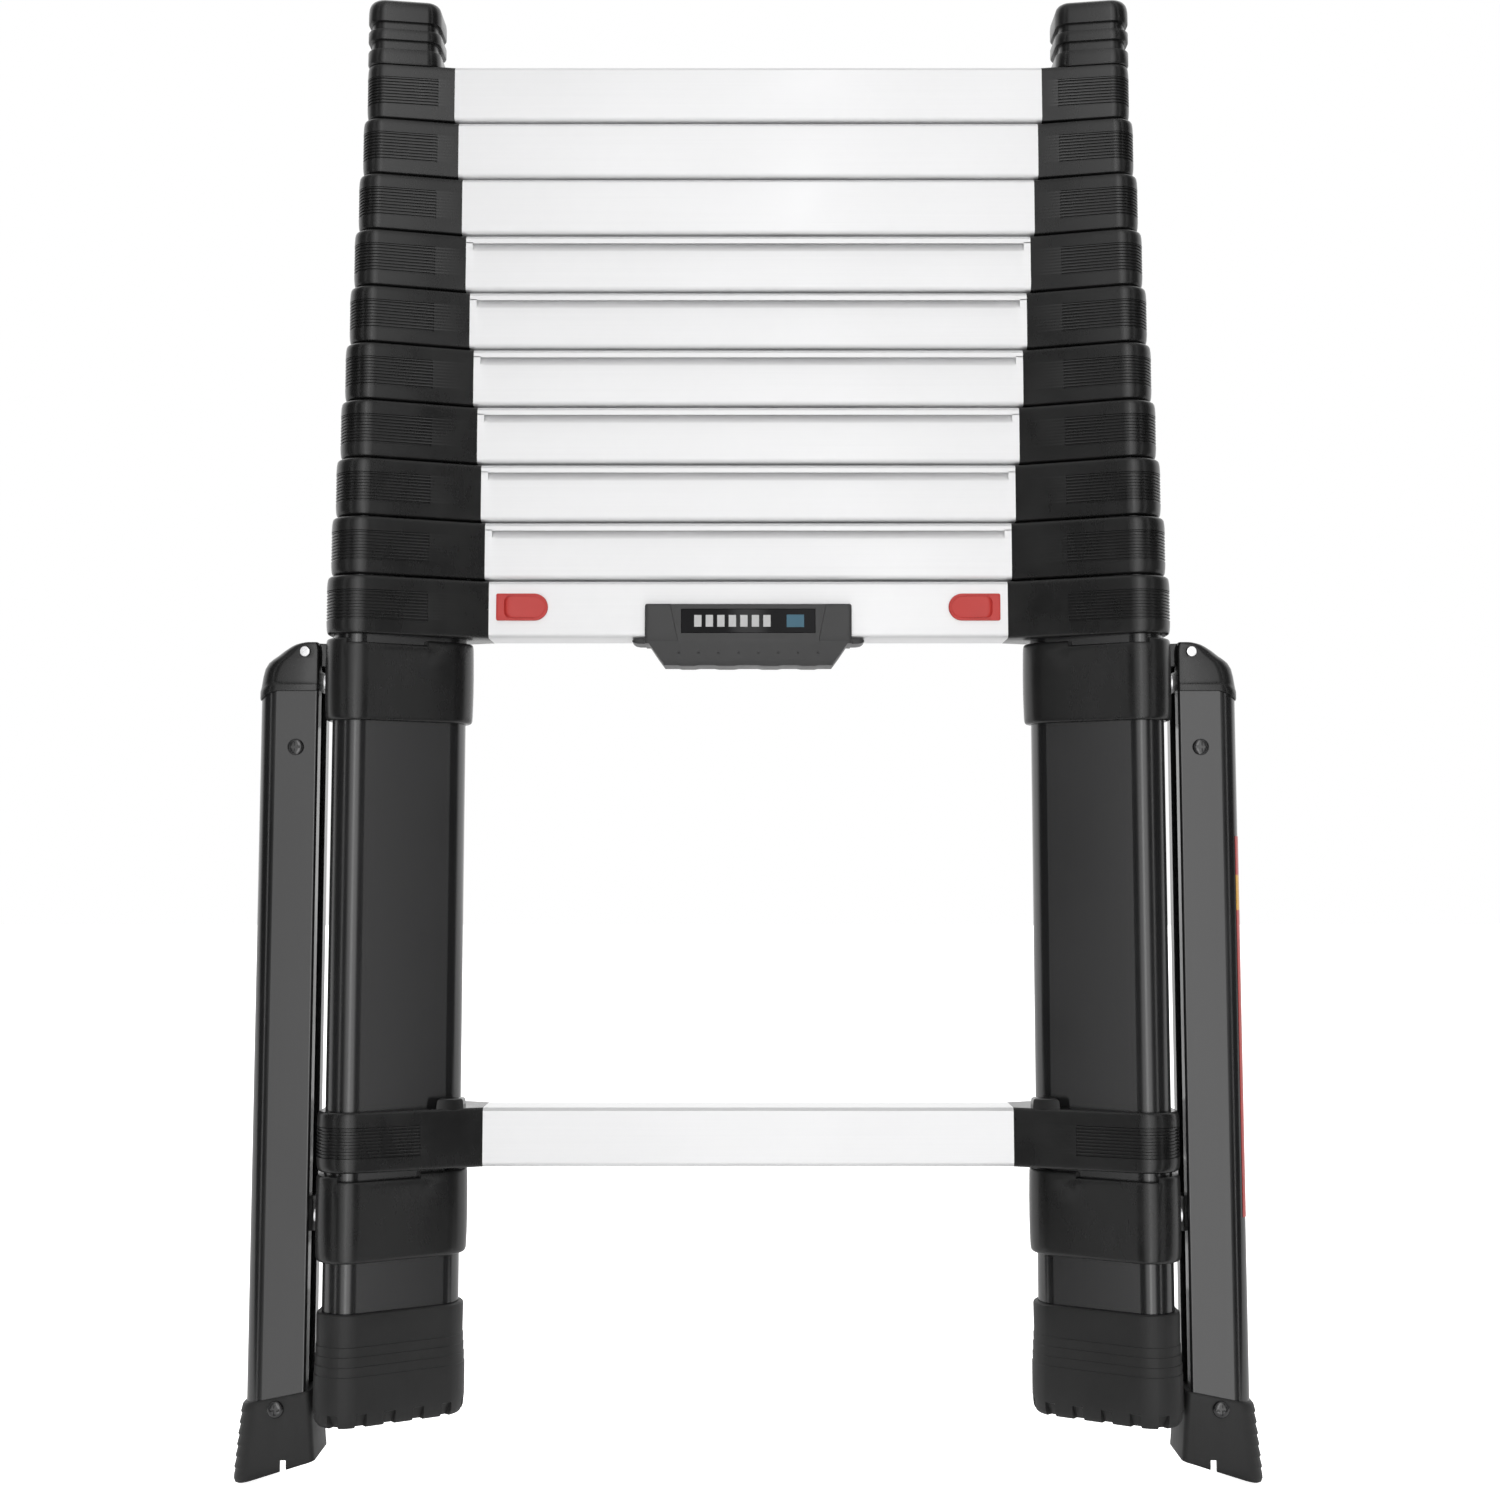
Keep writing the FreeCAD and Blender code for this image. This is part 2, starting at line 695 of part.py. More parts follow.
def make_carry_handle():
    body = new_body("carry_handle_body")
    front = "rung_depth / 2"
    low, bend, high = (above_sole(alias) for alias in ("handle_low", "handle_bend", "handle_high"))
    under = rung_bottom(SECTIONS)
    plate = [("-handle_half", high), ("-handle_half", bend), ("-handle_foot_half", low),
             ("handle_foot_half", low), ("handle_half", bend), ("handle_half", high)]
    pad(body, outline(body, "handle_front", "XZ_Plane", plate, front), "handle_plate")
    grip = [("-handle_half", under)] + plate[1:5] + [("handle_half", under)]
    depth = f"({front} + handle_back)"
    pad(body, outline(body, "handle_grip", "XZ_Plane", grip, front), depth, backwards=True)
    wing = [("-wing_half", under), ("-wing_half", bend), ("wing_half", bend), ("wing_half", under)]
    pad(body, outline(body, "handle_wings", "XZ_Plane", wing, front), depth, backwards=True)
    hollow = [("-(handle_half - 3 * handle_shell)", f"{bend} - handle_shell / 2"),
              ("-(handle_foot_half - handle_shell)", f"{low} + handle_shell"),
              ("handle_foot_half - handle_shell", f"{low} + handle_shell"),
              ("handle_half - 3 * handle_shell", f"{bend} - handle_shell / 2")]
    trough = outline(body, "handle_trough", "XZ_Plane", hollow, "-handle_back")
    pocket(body, trough, f"{depth} + handle_shell", backwards=True)
    window_low, window_high = above_sole("window_low"), above_sole("window_high")
    window = [("-window_half", window_low), ("window_half", window_low),
              ("window_half", window_high), ("-window_half", window_high)]
    face = f"({front} + handle_plate)"
    pocket(body, outline(body, "handle_window", "XZ_Plane", window, face), "window_cut")
    keep(body, "carry_handle")


def make_nameplate():
    plate = doc.addObject("Part::Box", "nameplate_box")
    bind(plate, "Length", "2 * (window_half - plate_gap)")
    bind(plate, "Width", "window_cut - plate_gap")
    bind(plate, "Height", "window_high - window_low - 2 * plate_gap")
    bind(plate, "Placement.Base.x", "plate_gap - window_half")
    bind(plate, "Placement.Base.y", "plate_gap - rung_depth / 2 - handle_plate")
    bind(plate, "Placement.Base.z", "sole_level + window_low + plate_gap")
    keep(plate, "nameplate")


def make_pivot_pins():
    level = above_sole("pivot_level")
    shank = rod("pivot_shank", "pivot_radius", "2 * (head_half - pivot_sink)", "Y",
                ("pivot_reach", "2 * pivot_sink - head_half", level))
    head = rod("pivot_head", "pivot_head_radius", "pivot_head_length", "Y",
               ("pivot_reach", "pivot_sink - head_half", level))
    pair(joined("pivot_pin", [shank, head]), "pivot_pins")


# ---- outriggers --------------------------------------------------------------------------------

def leg_outline():
    return [("leg_near", "-leg_half"), ("leg_far", "-leg_half"), ("leg_far", "leg_half"),
            ("leg_near", "leg_half")]


def make_outrigger_profile():
    body = new_body("leg_profile")
    corners = leg_outline()
    low, high = "sole_level", above_sole("leg_top")
    prism(body, "leg_outline", corners, low, high)
    inner_half = "(leg_half - leg_wall)"
    cavity = [("leg_near + leg_wall", f"-{inner_half}"), ("leg_far - leg_wall", f"-{inner_half}"),
              ("leg_far - leg_wall", inner_half), ("leg_near + leg_wall", inner_half)]
    block = well(body, "leg_cavity", cavity, low, high, cavity[1:3], "leg_round - leg_wall")
    block = fillet(body, block, "leg_round", stands_at(corners[1:3]))
    near = number("leg_near")
    fillet(body, block, "leg_edge",
           lambda edge: runs_along(edge, 2) and abs(edge.CenterOfMass.x - near) < 1e-4)
    throat_near, throat_far = "leg_near - overcut", "leg_near + leg_wall + overcut"
    throat = [(throat_near, "-channel_half"), (throat_far, "-channel_half"),
              (throat_far, "channel_half"), (throat_near, "channel_half")]
    well(body, "leg_throat", throat, low, high)
    for name in ("upper", "lower"):
        centre = (f"{name}_screw_reach", above_sole(f"{name}_screw_level"))
        cross_hole(body, f"leg_{name}_hole", centre, "screw_radius", "leg_half",
                   "leg_wall + overcut")
    right_and_left(body, "outrigger_profile")


def make_outrigger_head():
    body = new_body("leg_head")
    level = above_sole("pivot_level")
    low = above_sole("leg_top")
    crown = f"{level} + head_rise"
    side = [("leg_near", low), ("leg_far", low), ("leg_far", f"{low} - head_skirt"),
            ("head_far", f"{low} - head_skirt"), ("head_far", crown), ("leg_near", crown)]
    block = pad(body, outline(body, "head_side", "XZ_Plane", side), "2 * head_half",
                symmetric=True)
    corner = FreeCAD.Vector(number("head_far"), 0, number(crown))
    fillet(body, block, "head_round",
           lambda edge: runs_along(edge, 1) and (edge.CenterOfMass - corner).Length < 1e-4)
    plug_near, plug_far = "leg_near + leg_wall + plug_gap", "leg_far - plug_inset"
    plug_half = "(leg_half - leg_wall - plug_gap)"
    plug = [(plug_near, f"-{plug_half}"), (plug_far, f"-{plug_half}"),
            (plug_far, plug_half), (plug_near, plug_half)]
    prism(body, "head_plug", plug, f"({low} - head_plug)", low)
    fork_near, fork_far = "leg_near - overcut", "pivot_reach + fork_reach"
    fork = [(fork_near, f"{level} - fork_drop"), (fork_far, f"{level} - fork_drop"),
            (fork_far, f"{level} + fork_rise"), (fork_near, f"{level} + fork_rise")]
    pocket(body, outline(body, "head_fork", "XZ_Plane", fork), "2 * (lug_half + fork_gap)",
           symmetric=True)
    cross_hole(body, "head_pivot_hole", ("pivot_reach", level), "pivot_radius + pivot_gap",
               "head_half", "2 * head_half")
    cross_hole(body, "head_counterbore", ("pivot_reach", level), "pivot_head_radius + pin_gap",
               "head_half", "pivot_head_length + 3 * pivot_sink")
    cross_hole(body, "head_screw_hole", ("upper_screw_reach", above_sole("upper_screw_level")),
               "screw_radius", "leg_half", "leg_half")
    right_and_left(body, "outrigger_head")


def make_outrigger_foot():
    body = new_body("leg_foot")
    side = [("collar_inner", "collar_inner_top"), ("collar_outer", "collar_outer_top"),
            ("shoulder_outer", "sole_level"), ("toe_outer", "toe_top"), ("sole_outer", "0"),
            ("sole_inner", "0"), ("heel_inner", "heel_level"), ("waist_inner", "waist_level")]
    pad(body, outline(body, "foot_side", "XZ_Plane", side), "2 * leg_foot_half", symmetric=True)
    near = number("leg_near")
    corners = leg_outline()
    seat = well(body, "leg_seat", corners, "sole_level", "leg_seat_top", corners[1:3], "leg_round")
    fillet(body, seat, "leg_edge",
           lambda edge: runs_along(edge, 2) and abs(edge.CenterOfMass.x - near) < 1e-4)
    notch = [("notch_near", "-overcut"), ("notch_far", "-overcut"), ("notch_far", "notch_top"),
             ("notch_near", "notch_top")]
    pocket(body, outline(body, "sole_notch", "XZ_Plane", notch), "3 * leg_foot_half",
           symmetric=True)
    cross_hole(body, "foot_screw_hole", ("lower_screw_reach", above_sole("lower_screw_level")),
               "screw_radius", "leg_foot_half", "leg_foot_half - leg_half")
    right_and_left(body, "outrigger_foot")


def make_outrigger_screws():
    screws = []
    for name, face in (("upper", "leg_half"), ("lower", "leg_foot_half")):
        level = above_sole(f"{name}_screw_level")
        reach = f"{name}_screw_reach"
        shank = rod(f"{name}_screw_shank", "screw_radius", "screw_length", "Y",
                    (reach, f"-{face}", level))
        head = rod(f"{name}_screw_head", "screw_head_radius", "screw_head_length", "Y",
                   (reach, f"-{face} - screw_head_length", level))
        screws.append(joined(f"{name}_screw", [shank, head]))
    right = doc.addObject("Part::Compound", "screws_right")
    right.Links = screws
    right_and_left(right, "outrigger_screws")


# ---- release sliders ---------------------------------------------------------------------------

def make_release_slider():
    body = new_body("slider")
    low, high = above_sole("slider_low"), above_sole("slider_high")
    back = "(rung_depth / 2 + slider_gap)"
    plate = [("slider_near", low), ("slider_far", low), ("slider_far", high), ("slider_near", high)]
    face = pad(body, outline(body, "slider_plate", "XZ_Plane", plate, back), "slider_plate")
    inner = number("slider_near")
    fillet(body, face, "slider_round",
           lambda edge: runs_along(edge, 1) and abs(edge.CenterOfMass.x - inner) < 1e-4)
    near, far = "(slider_near + thumb_inset)", "(slider_far - thumb_inset)"
    thumb = [(near, f"{low} + thumb_rim"), (far, f"{low} + thumb_rim"),
             (far, f"{high} - thumb_rim"), (near, f"{high} - thumb_rim")]
    raised = pad(body, outline(body, "slider_thumb", "XZ_Plane", thumb, f"{back} + slider_plate"),
                 "thumb_height")
    near_edge = number(near)
    fillet(body, raised, "thumb_round",
           lambda edge: runs_along(edge, 1) and abs(edge.CenterOfMass.x - near_edge) < 1e-4)
    level = pin_level(SECTIONS)
    stem = [("stem_near", f"{level} - stem_half"), ("stem_far", f"{level} - stem_half"),
            ("stem_far", f"{level} + stem_half"), ("stem_near", f"{level} + stem_half")]
    pad(body, outline(body, "slider_stem", "XZ_Plane", stem, back), f"{back} - stem_end",
        backwards=True)
    right_and_left(body, "red_button")


def make_slider_pin():
    """The lock pin of section 10, with a flat in which the slider's stem sits."""
    level = pin_level(SECTIONS)
    start = f"({tube_tip(SECTIONS)} + pin_nose - lock_bolt_length)"
    bolt = rod("bolt_shank", "pin_radius", "lock_bolt_length", "X", (start, "0", level))
    flat = doc.addObject("Part::Box", "bolt_flat")
    bind(flat, "Length", "stem_far - stem_near")
    bind(flat, "Width", "pin_radius")
    bind(flat, "Height", "4 * pin_radius")
    bind(flat, "Placement.Base.x", "stem_near")
    bind(flat, "Placement.Base.y", "-stem_end - pin_radius")
    bind(flat, "Placement.Base.z", f"{level} - 2 * pin_radius")
    pin = doc.addObject("Part::Cut", "bolt")
    pin.Base = bolt
    pin.Tool = flat
    right_and_left(pin, "lock_pin")


# ---- assembly ----------------------------------------------------------------------------------

for section in range(1, SECTIONS):
    make_tubes(section, f"tubes_{section}")
make_tubes(SECTIONS, "outer_tubes")
for rung in range(1, BOTTOM_RUNG + 1):
    make_rung(rung)
    make_connectors(rung)
for section in range(2, SECTIONS):
    make_lock_pins(section)
make_top_caps()
make_upper_brackets()
make_lower_brackets()
make_bracket_rivets()
make_stile_feet()
make_carry_handle()
make_nameplate()
make_pivot_pins()
make_outrigger_profile()
make_outrigger_head()
make_outrigger_foot()
make_outrigger_screws()
make_release_slider()
make_slider_pin()
doc.recompute()

for item in doc.Objects:
    if "Invalid" in item.State or "Error" in item.State:
        raise RuntimeError(f"{item.Label} failed: {item.State}")
for item in subparts:
    if item.Shape.isNull() or not item.Shape.isValid():
        raise RuntimeError(f"{item.Label} has no valid shape")

os.makedirs("parts", exist_ok=True)
for item in subparts:
    item.Shape.exportStep(f"parts/{item.Label}.step")
print(f"{len(subparts)} sub-parts")
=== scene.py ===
import json
import math

import bmesh
import bpy
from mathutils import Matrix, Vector


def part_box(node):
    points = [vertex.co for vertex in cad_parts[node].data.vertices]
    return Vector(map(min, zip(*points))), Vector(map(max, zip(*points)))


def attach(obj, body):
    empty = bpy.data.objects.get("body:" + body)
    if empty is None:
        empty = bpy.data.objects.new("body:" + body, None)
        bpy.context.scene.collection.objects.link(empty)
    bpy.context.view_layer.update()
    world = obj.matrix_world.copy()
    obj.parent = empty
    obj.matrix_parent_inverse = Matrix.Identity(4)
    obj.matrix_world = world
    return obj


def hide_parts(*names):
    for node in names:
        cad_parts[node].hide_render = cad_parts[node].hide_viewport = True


# Telescoping ladder, closed and upright. Shapes are worked out in millimetres in the frame of the
# CAD model, +X to the right, -Y towards the viewer and +Z up, and turned into metres once.

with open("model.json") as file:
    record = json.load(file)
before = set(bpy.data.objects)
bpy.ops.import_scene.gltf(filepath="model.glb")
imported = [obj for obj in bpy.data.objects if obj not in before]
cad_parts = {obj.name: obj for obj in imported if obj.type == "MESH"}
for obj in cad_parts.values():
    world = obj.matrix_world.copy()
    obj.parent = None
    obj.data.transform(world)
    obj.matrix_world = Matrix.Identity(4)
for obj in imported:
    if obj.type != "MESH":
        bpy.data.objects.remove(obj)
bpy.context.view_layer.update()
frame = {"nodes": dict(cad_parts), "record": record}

MM = 0.001
SECTIONS = 10
BOTTOM_RUNG = 11
GROOVED_RUNGS = range(4, 10)
SIDES = (("left", -1), ("right", 1))

# moulded collars and the tubes inside them
COLLAR_WALL = 4.5
TUBE_WALL = 1.35
TUBE_CORNER = 14.0
CORNER_STEP = 0.9
FLARE = math.tan(math.radians(30))
COLLAR_LIP = 1.5
PANEL_START = 183.0
RIBS = 9

HINGE_X = 255.0
RUNG_FRONT = -15.5


def reach_of(node):
    """A node's box in millimetres, as its lowest and highest corners."""
    low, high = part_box(node)
    return low / MM, high / MM


# ---- mesh building -----------------------------------------------------------------------------

class Shape:
    """Points in millimetres with faces and flat fills between loops of points."""

    def __init__(self):
        self.points = []
        self.faces = []
        self.fills = []

    def ring(self, points):
        start = len(self.points)
        self.points.extend(points)
        return list(range(start, start + len(points)))

    def skin(self, rings, closed=True):
        """Quads between each ring of indices and the next."""
        for lower, upper in zip(rings, rings[1:]):
            count = len(lower)
            for index in range(count if closed else count - 1):
                following = (index + 1) % count
                self.faces.append((lower[index], lower[following], upper[following], upper[index]))

    def loft(self, sections, close=True):
        """A skin through the sections, with both ends filled unless close is off."""
        rings = [self.ring(section) for section in sections]
        self.skin(rings)
        if close:
            self.fills.append([rings[0]])
            self.fills.append([rings[-1]])
        return rings

    def mirror(self):
        """Adds the mirror image on the other side of the middle plane."""
        count = len(self.points)
        self.points += [(-x, y, z) for x, y, z in self.points]
        self.faces += [tuple(index + count for index in reversed(face)) for face in self.faces]
        self.fills += [[[index + count for index in loop] for loop in loops] for loops in self.fills]

    def flip(self):
        """Turns the shape into its mirror image."""
        self.points = [(-x, y, z) for x, y, z in self.points]
        self.faces = [tuple(reversed(face)) for face in self.faces]

    def mesh(self, name, sharp=32):
        shape = bmesh.new()
        verts = [shape.verts.new(Vector(point) * MM) for point in self.points]
        for face in self.faces:
            shape.faces.new([verts[index] for index in face])
        for loops in self.fills:
            edges = []
            for loop in loops:
                for index, point in enumerate(loop):
                    pair = (verts[point], verts[loop[(index + 1) % len(loop)]])
                    edges.append(shape.edges.get(pair) or shape.edges.new(pair))
            bmesh.ops.triangle_fill(shape, use_beauty=True, use_dissolve=False, edges=edges)
        bmesh.ops.recalc_face_normals(shape, faces=shape.faces[:])
        made = bpy.data.meshes.new(name)
        shape.to_mesh(made)
        shape.free()
        made.shade_smooth()
        made.set_sharp_from_angle(angle=math.radians(sharp))
        return made


def piece(name, mesh, material, body, slot, *nodes):
    """A finished piece that rides on a body and stands for the CAD nodes."""
    made = bpy.data.objects.new(name, mesh)
    bpy.context.scene.collection.objects.link(made)
    mesh.materials.clear()
    mesh.materials.append(material)
    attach(made, body)
    if nodes:
        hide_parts(*nodes)
    return made


def carved(name, mesh, cutters):
    """The mesh with the cutter shapes taken out of it."""
    block = bpy.data.objects.new(f"{name}_block", mesh)
    bpy.context.scene.collection.objects.link(block)
    tools = []
    for index, cutter in enumerate(cutters):
        tool = bpy.data.objects.new(f"{name}_cutter_{index}", cutter.mesh(f"{name}_cutter_{index}"))
        bpy.context.scene.collection.objects.link(tool)
        cut = block.modifiers.new(f"cut_{index}", "BOOLEAN")
        cut.operation = "DIFFERENCE"
        cut.solver = "EXACT"
        cut.object = tool
        tools.append(tool)
    bpy.context.view_layer.update()
    graph = bpy.context.evaluated_depsgraph_get()
    result = bpy.data.meshes.new_from_object(block.evaluated_get(graph))
    for done in [block, *tools]:
        bpy.data.objects.remove(done)
    result.name = name
    result.shade_smooth()
    result.set_sharp_from_angle(angle=math.radians(32))
    return result


def arc(centre, radius, start, end, steps):
    """Points on an arc with their outward directions, angles in degrees."""
    points = []
    for step in range(steps + 1):
        angle = math.radians(start + (end - start) * step / steps)
        across, along = math.cos(angle), math.sin(angle)
        points.append((centre[0] + radius * across, centre[1] + radius * along, across, along))
    return points


def offset_ring(plan, inset, level):
    """The plan drawn inwards along its outward directions, at a level."""
    return [(x - nx * inset, y - ny * inset, level) for x, y, nx, ny in plan]


def box_shape(low, high):
    """A plain block, used only to cut with."""
    shape = Shape()
    corners = [(low[0], low[1]), (high[0], low[1]), (high[0], high[1]), (low[0], high[1])]
    shape.loft([[(x, y, low[2]) for x, y in corners], [(x, y, high[2]) for x, y in corners]])
    return shape


def lathe(profile, centre, steps=32, direction=-1):
    """Turns (radius, depth) pairs round an axis along Y; depth runs along the direction."""
    shape = Shape()
    rings = []
    for radius, depth in profile:
        ring = [(centre[0] + radius * math.cos(turn), centre[1] + direction * depth,
                 centre[2] + radius * math.sin(turn))
                for turn in (2 * math.pi * step / steps for step in range(steps))]
        rings.append(ring)
    shape.loft(rings)
    return shape


# ---- plans -------------------------------------------------------------------------------------

def tube_frame(section):
    """Face, half depth and corner radius of a tube from its node."""
    node = "outer_tubes" if section == SECTIONS else f"tubes_{section}"
    high = reach_of(node)[1]
    return high.x, high.y, TUBE_CORNER - (SECTIONS - section) * CORNER_STEP


def triangle_plan(section, grow, steps=10):
    """Rounded triangle of a tube, grown outwards, with outward directions."""
    face, half, corner = tube_frame(section)
    rise = half - corner
    apex = face - (rise + corner / FLARE) / FLARE
    radius = corner + grow
    return (arc((face - corner, -rise), radius, -120, 0, steps)
            + arc((face - corner, rise), radius, 0, 120, steps)
            + arc((apex + 2 * corner, 0), radius, 120, 240, steps))


def connector_plan(rung, steps=12):
    """Plan of a connector as (x, y, outward x, outward y, on the ribbed panel)."""
    face, half, corner = tube_frame(min(rung, SECTIONS))
    high = reach_of(f"rung_{rung}")[1]
    end, depth = high.x, high.y
    radius = corner + COLLAR_WALL
    centre = (face - corner, corner - half)
    run, rise = centre[0] - end, centre[1] + depth
    span = math.hypot(run, rise)
    slope = math.atan2(rise, run) - math.asin(radius / span)
    out = (math.sin(slope), -math.cos(slope))
    length = math.sqrt(span ** 2 - radius ** 2)

    def along(x):
        share = (x - end) / (length * math.cos(slope))
        return (x, -depth + share * length * math.sin(slope), *out)

    edge = 0.12
    front = [((end, -depth, 0, out[1]), 0), (along(end + 1.0), 0), (along(PANEL_START - edge), 0),
             (along(PANEL_START + edge), 1)]
    bend = arc(centre, radius, math.degrees(slope) - 90, 0, steps)
    front += [(point, 1) for point in bend]
    rear = [((x, -y, nx, -ny), panel) for (x, y, nx, ny), panel in reversed(front)]
    return front + rear


# ---- connectors, caps and brackets -------------------------------------------------------------

BARREL = [(0.0, 2.0), (0.5, 1.1), (1.3, 0.62), (3.0, 0.30), (5.5, 0.12), (8.0, 0.03)]
RIB_DEPTH = 0.9
PANEL_HEIGHT = 16.4


def connector_levels(height):
    """(height, inset, extra inset on the ribbed panel) from the bottom up."""
    pitch = PANEL_HEIGHT / RIBS
    start = (height - PANEL_HEIGHT) / 2
    levels = [(z, inset, 0) for z, inset in BARREL]
    for rib in range(RIBS):
        z = start + rib * pitch
        levels += [(z, 0, RIB_DEPTH), (z + 0.42 * pitch, 0, RIB_DEPTH),
                   (z + 0.55 * pitch, 0, 0.06), (z + 0.87 * pitch, 0, 0.06)]
    levels.append((start + PANEL_HEIGHT, 0, RIB_DEPTH))
    levels.append((start + PANEL_HEIGHT + 0.15, 0, 0))
    levels += [(height - z, 0.85 * inset, 0) for z, inset in reversed(BARREL)]
    return levels


def make_connector(rung):
    section = min(rung, SECTIONS)
    bottom, top = reach_of(f"rung_{rung}")[0].z, reach_of(f"rung_{rung}")[1].z
    plan = connector_plan(rung)
    shape = Shape()
    rings = []
    for z, inset, rib in connector_levels(top - bottom):
        ring = [(x - nx * (inset + rib * panel), y - ny * (inset + rib * panel), bottom + z)
                for (x, y, nx, ny), panel in plan]
        rings.append(shape.ring(ring))
    shape.skin(rings)
    bore = [shape.ring(offset_ring(triangle_plan(section, 0), 0, bottom))]
    if rung == BOTTOM_RUNG:
        bore.append(shape.ring(offset_ring(triangle_plan(section, 0), 0, top)))
    else:
        bore.append(shape.ring(offset_ring(triangle_plan(section, 0), 0, top - COLLAR_LIP)))
        for drop in (COLLAR_LIP, 0):
            bore.append(shape.ring(offset_ring(triangle_plan(section, -TUBE_WALL), 0, top - drop)))
    shape.skin(bore)
    shape.fills.append([rings[0], bore[0]])
    shape.fills.append([rings[-1], bore[-1]])
    if rung == BOTTOM_RUNG:
        add_release_tab(shape, top, reach_of(f"connectors_{rung}")[1].z)
    shape.mirror()
    body = "base" if rung >= SECTIONS else f"section_{rung}"
    piece(f"connector_mouldings_{rung}", shape.mesh(f"connector_mouldings_{rung}"),
          finishes["black_plastic"], body, "black_plastic", f"connectors_{rung}")


TAB_PLAN = [(160.5, -18.5), (166, -21.4), (175, -23.5), (175, -15.2), (166, -11), (160.5, -8)]


def add_release_tab(shape, low, high):
    """The small unlocking tab on top of a bottom connector."""
    middle = (sum(x for x, y in TAB_PLAN) / len(TAB_PLAN), sum(y for x, y in TAB_PLAN) / len(TAB_PLAN))
    sections = []
    for level, shrink in ((low - 0.4, 0), (low + 0.3, 0), (high - 1.4, 0.04), (high - 0.5, 0.10),
                          (high, 0.24)):
        sections.append([(x + (middle[0] - x) * shrink, y + (middle[1] - y) * shrink, level)
                         for x, y in TAB_PLAN])
    shape.loft(sections)


# profile of a cap: height above the rung and inset
CAP_PROFILE = [(0, 0.9), (0.5, 0.3), (1.2, 0.0), (8.3, 0.0), (8.9, 0.3), (9.1, 2.3), (14.4, 2.3),
               (14.7, 0.3), (15.2, 0.0), (20.4, 0.0), (20.9, 0.3), (21.1, 2.3), (25.6, 2.3),
               (25.9, 0.3), (26.5, 0.0), (33.0, 0.0), (35.6, 0.35), (37.4, 1.0), (38.7, 2.1),
               (39.5, 3.4), (40.1, 5.0)]
# dome of a cap: height above the rung and share of the rim's size
CAP_DOME = [(40.7, 0.82), (41.3, 0.58), (41.7, 0.30), (41.9, 0.08)]
CAP_NEAR = 182.5
CAP_CORNER = 9.0
CAP_CLEARANCE = 4


def cap_plan():
    """The outer part of the top connector's plan, closed on the near side with rounded corners."""
    outer = [point for point, panel in connector_plan(1)]
    (x1, y1), (x2, y2) = outer[1][:2], outer[2][:2]
    slope = (y2 - y1) / (x2 - x1)
    lean = math.degrees(math.atan(slope))
    run = math.hypot(1, slope)
    centre_x = CAP_NEAR + CAP_CORNER
    centre_y = y1 + (centre_x - x1) * slope + CAP_CORNER * run
    front = arc((centre_x, centre_y), CAP_CORNER, -180, -90 + lean, 8)
    rear = arc((centre_x, -centre_y), CAP_CORNER, 90 - lean, 180, 8)
    return front + [point for point in outer if point[0] > centre_x + CAP_CLEARANCE] + rear


def make_caps():
    base = reach_of("rung_1")[1].z
    plan = cap_plan()
    sections = [offset_ring(plan, inset, base + z) for z, inset in CAP_PROFILE]
    rim = sections[-1]
    middle = (sum(x for x, y, z in rim) / len(rim), sum(y for x, y, z in rim) / len(rim))
    for z, share in CAP_DOME:
        sections.append([(middle[0] + (x - middle[0]) * share, middle[1] + (y - middle[1]) * share,
                          base + z) for x, y, level in rim])
    shape = Shape()
    shape.loft(sections)
    shape.mirror()
    piece("end_caps", shape.mesh("end_caps"), finishes["black_plastic"], "section_1",
          "black_plastic", "top_caps")


# edge of a bracket: height from either end and inset
BRACKET_EDGE = [(0.0, 2.4), (0.35, 1.5), (1.0, 0.9), (2.2, 0.55), (5.0, 0.38), (11.0, 0.2),
                (18.0, 0.05)]
CUTAWAY = (183.0, 226.0)
CUTAWAY_DROP = 2.6
CUTAWAY_START = 0.6
CUTAWAY_STEP = 0.1
LUG_ROOT = 3
LUG_HALF = 8.0
LATCH_RISE, LATCH_DROP = 12, 15
LATCH_NOSE = 5
LATCH_HALF = 6.0


def bracket_plan():
    """Plan of a bracket with extra points where the front of its top edge is cut down."""
    plan = triangle_plan(SECTIONS, COLLAR_WALL, 12)
    closing = plan + plan[:1]
    points = []
    for (x, y, nx, ny), (x2, y2, *_) in zip(closing, closing[1:]):
        points.append((x, y, nx, ny))
        for edge in CUTAWAY:
            if y < 0 and y2 < 0 and min(x, x2) < edge < max(x, x2):
                step = CUTAWAY_STEP if x2 > x else -CUTAWAY_STEP
                for shift in (-step, step):
                    share = (edge + shift - x) / (x2 - x)
                    points.append((edge + shift, y + (y2 - y) * share, nx, ny))
    return points


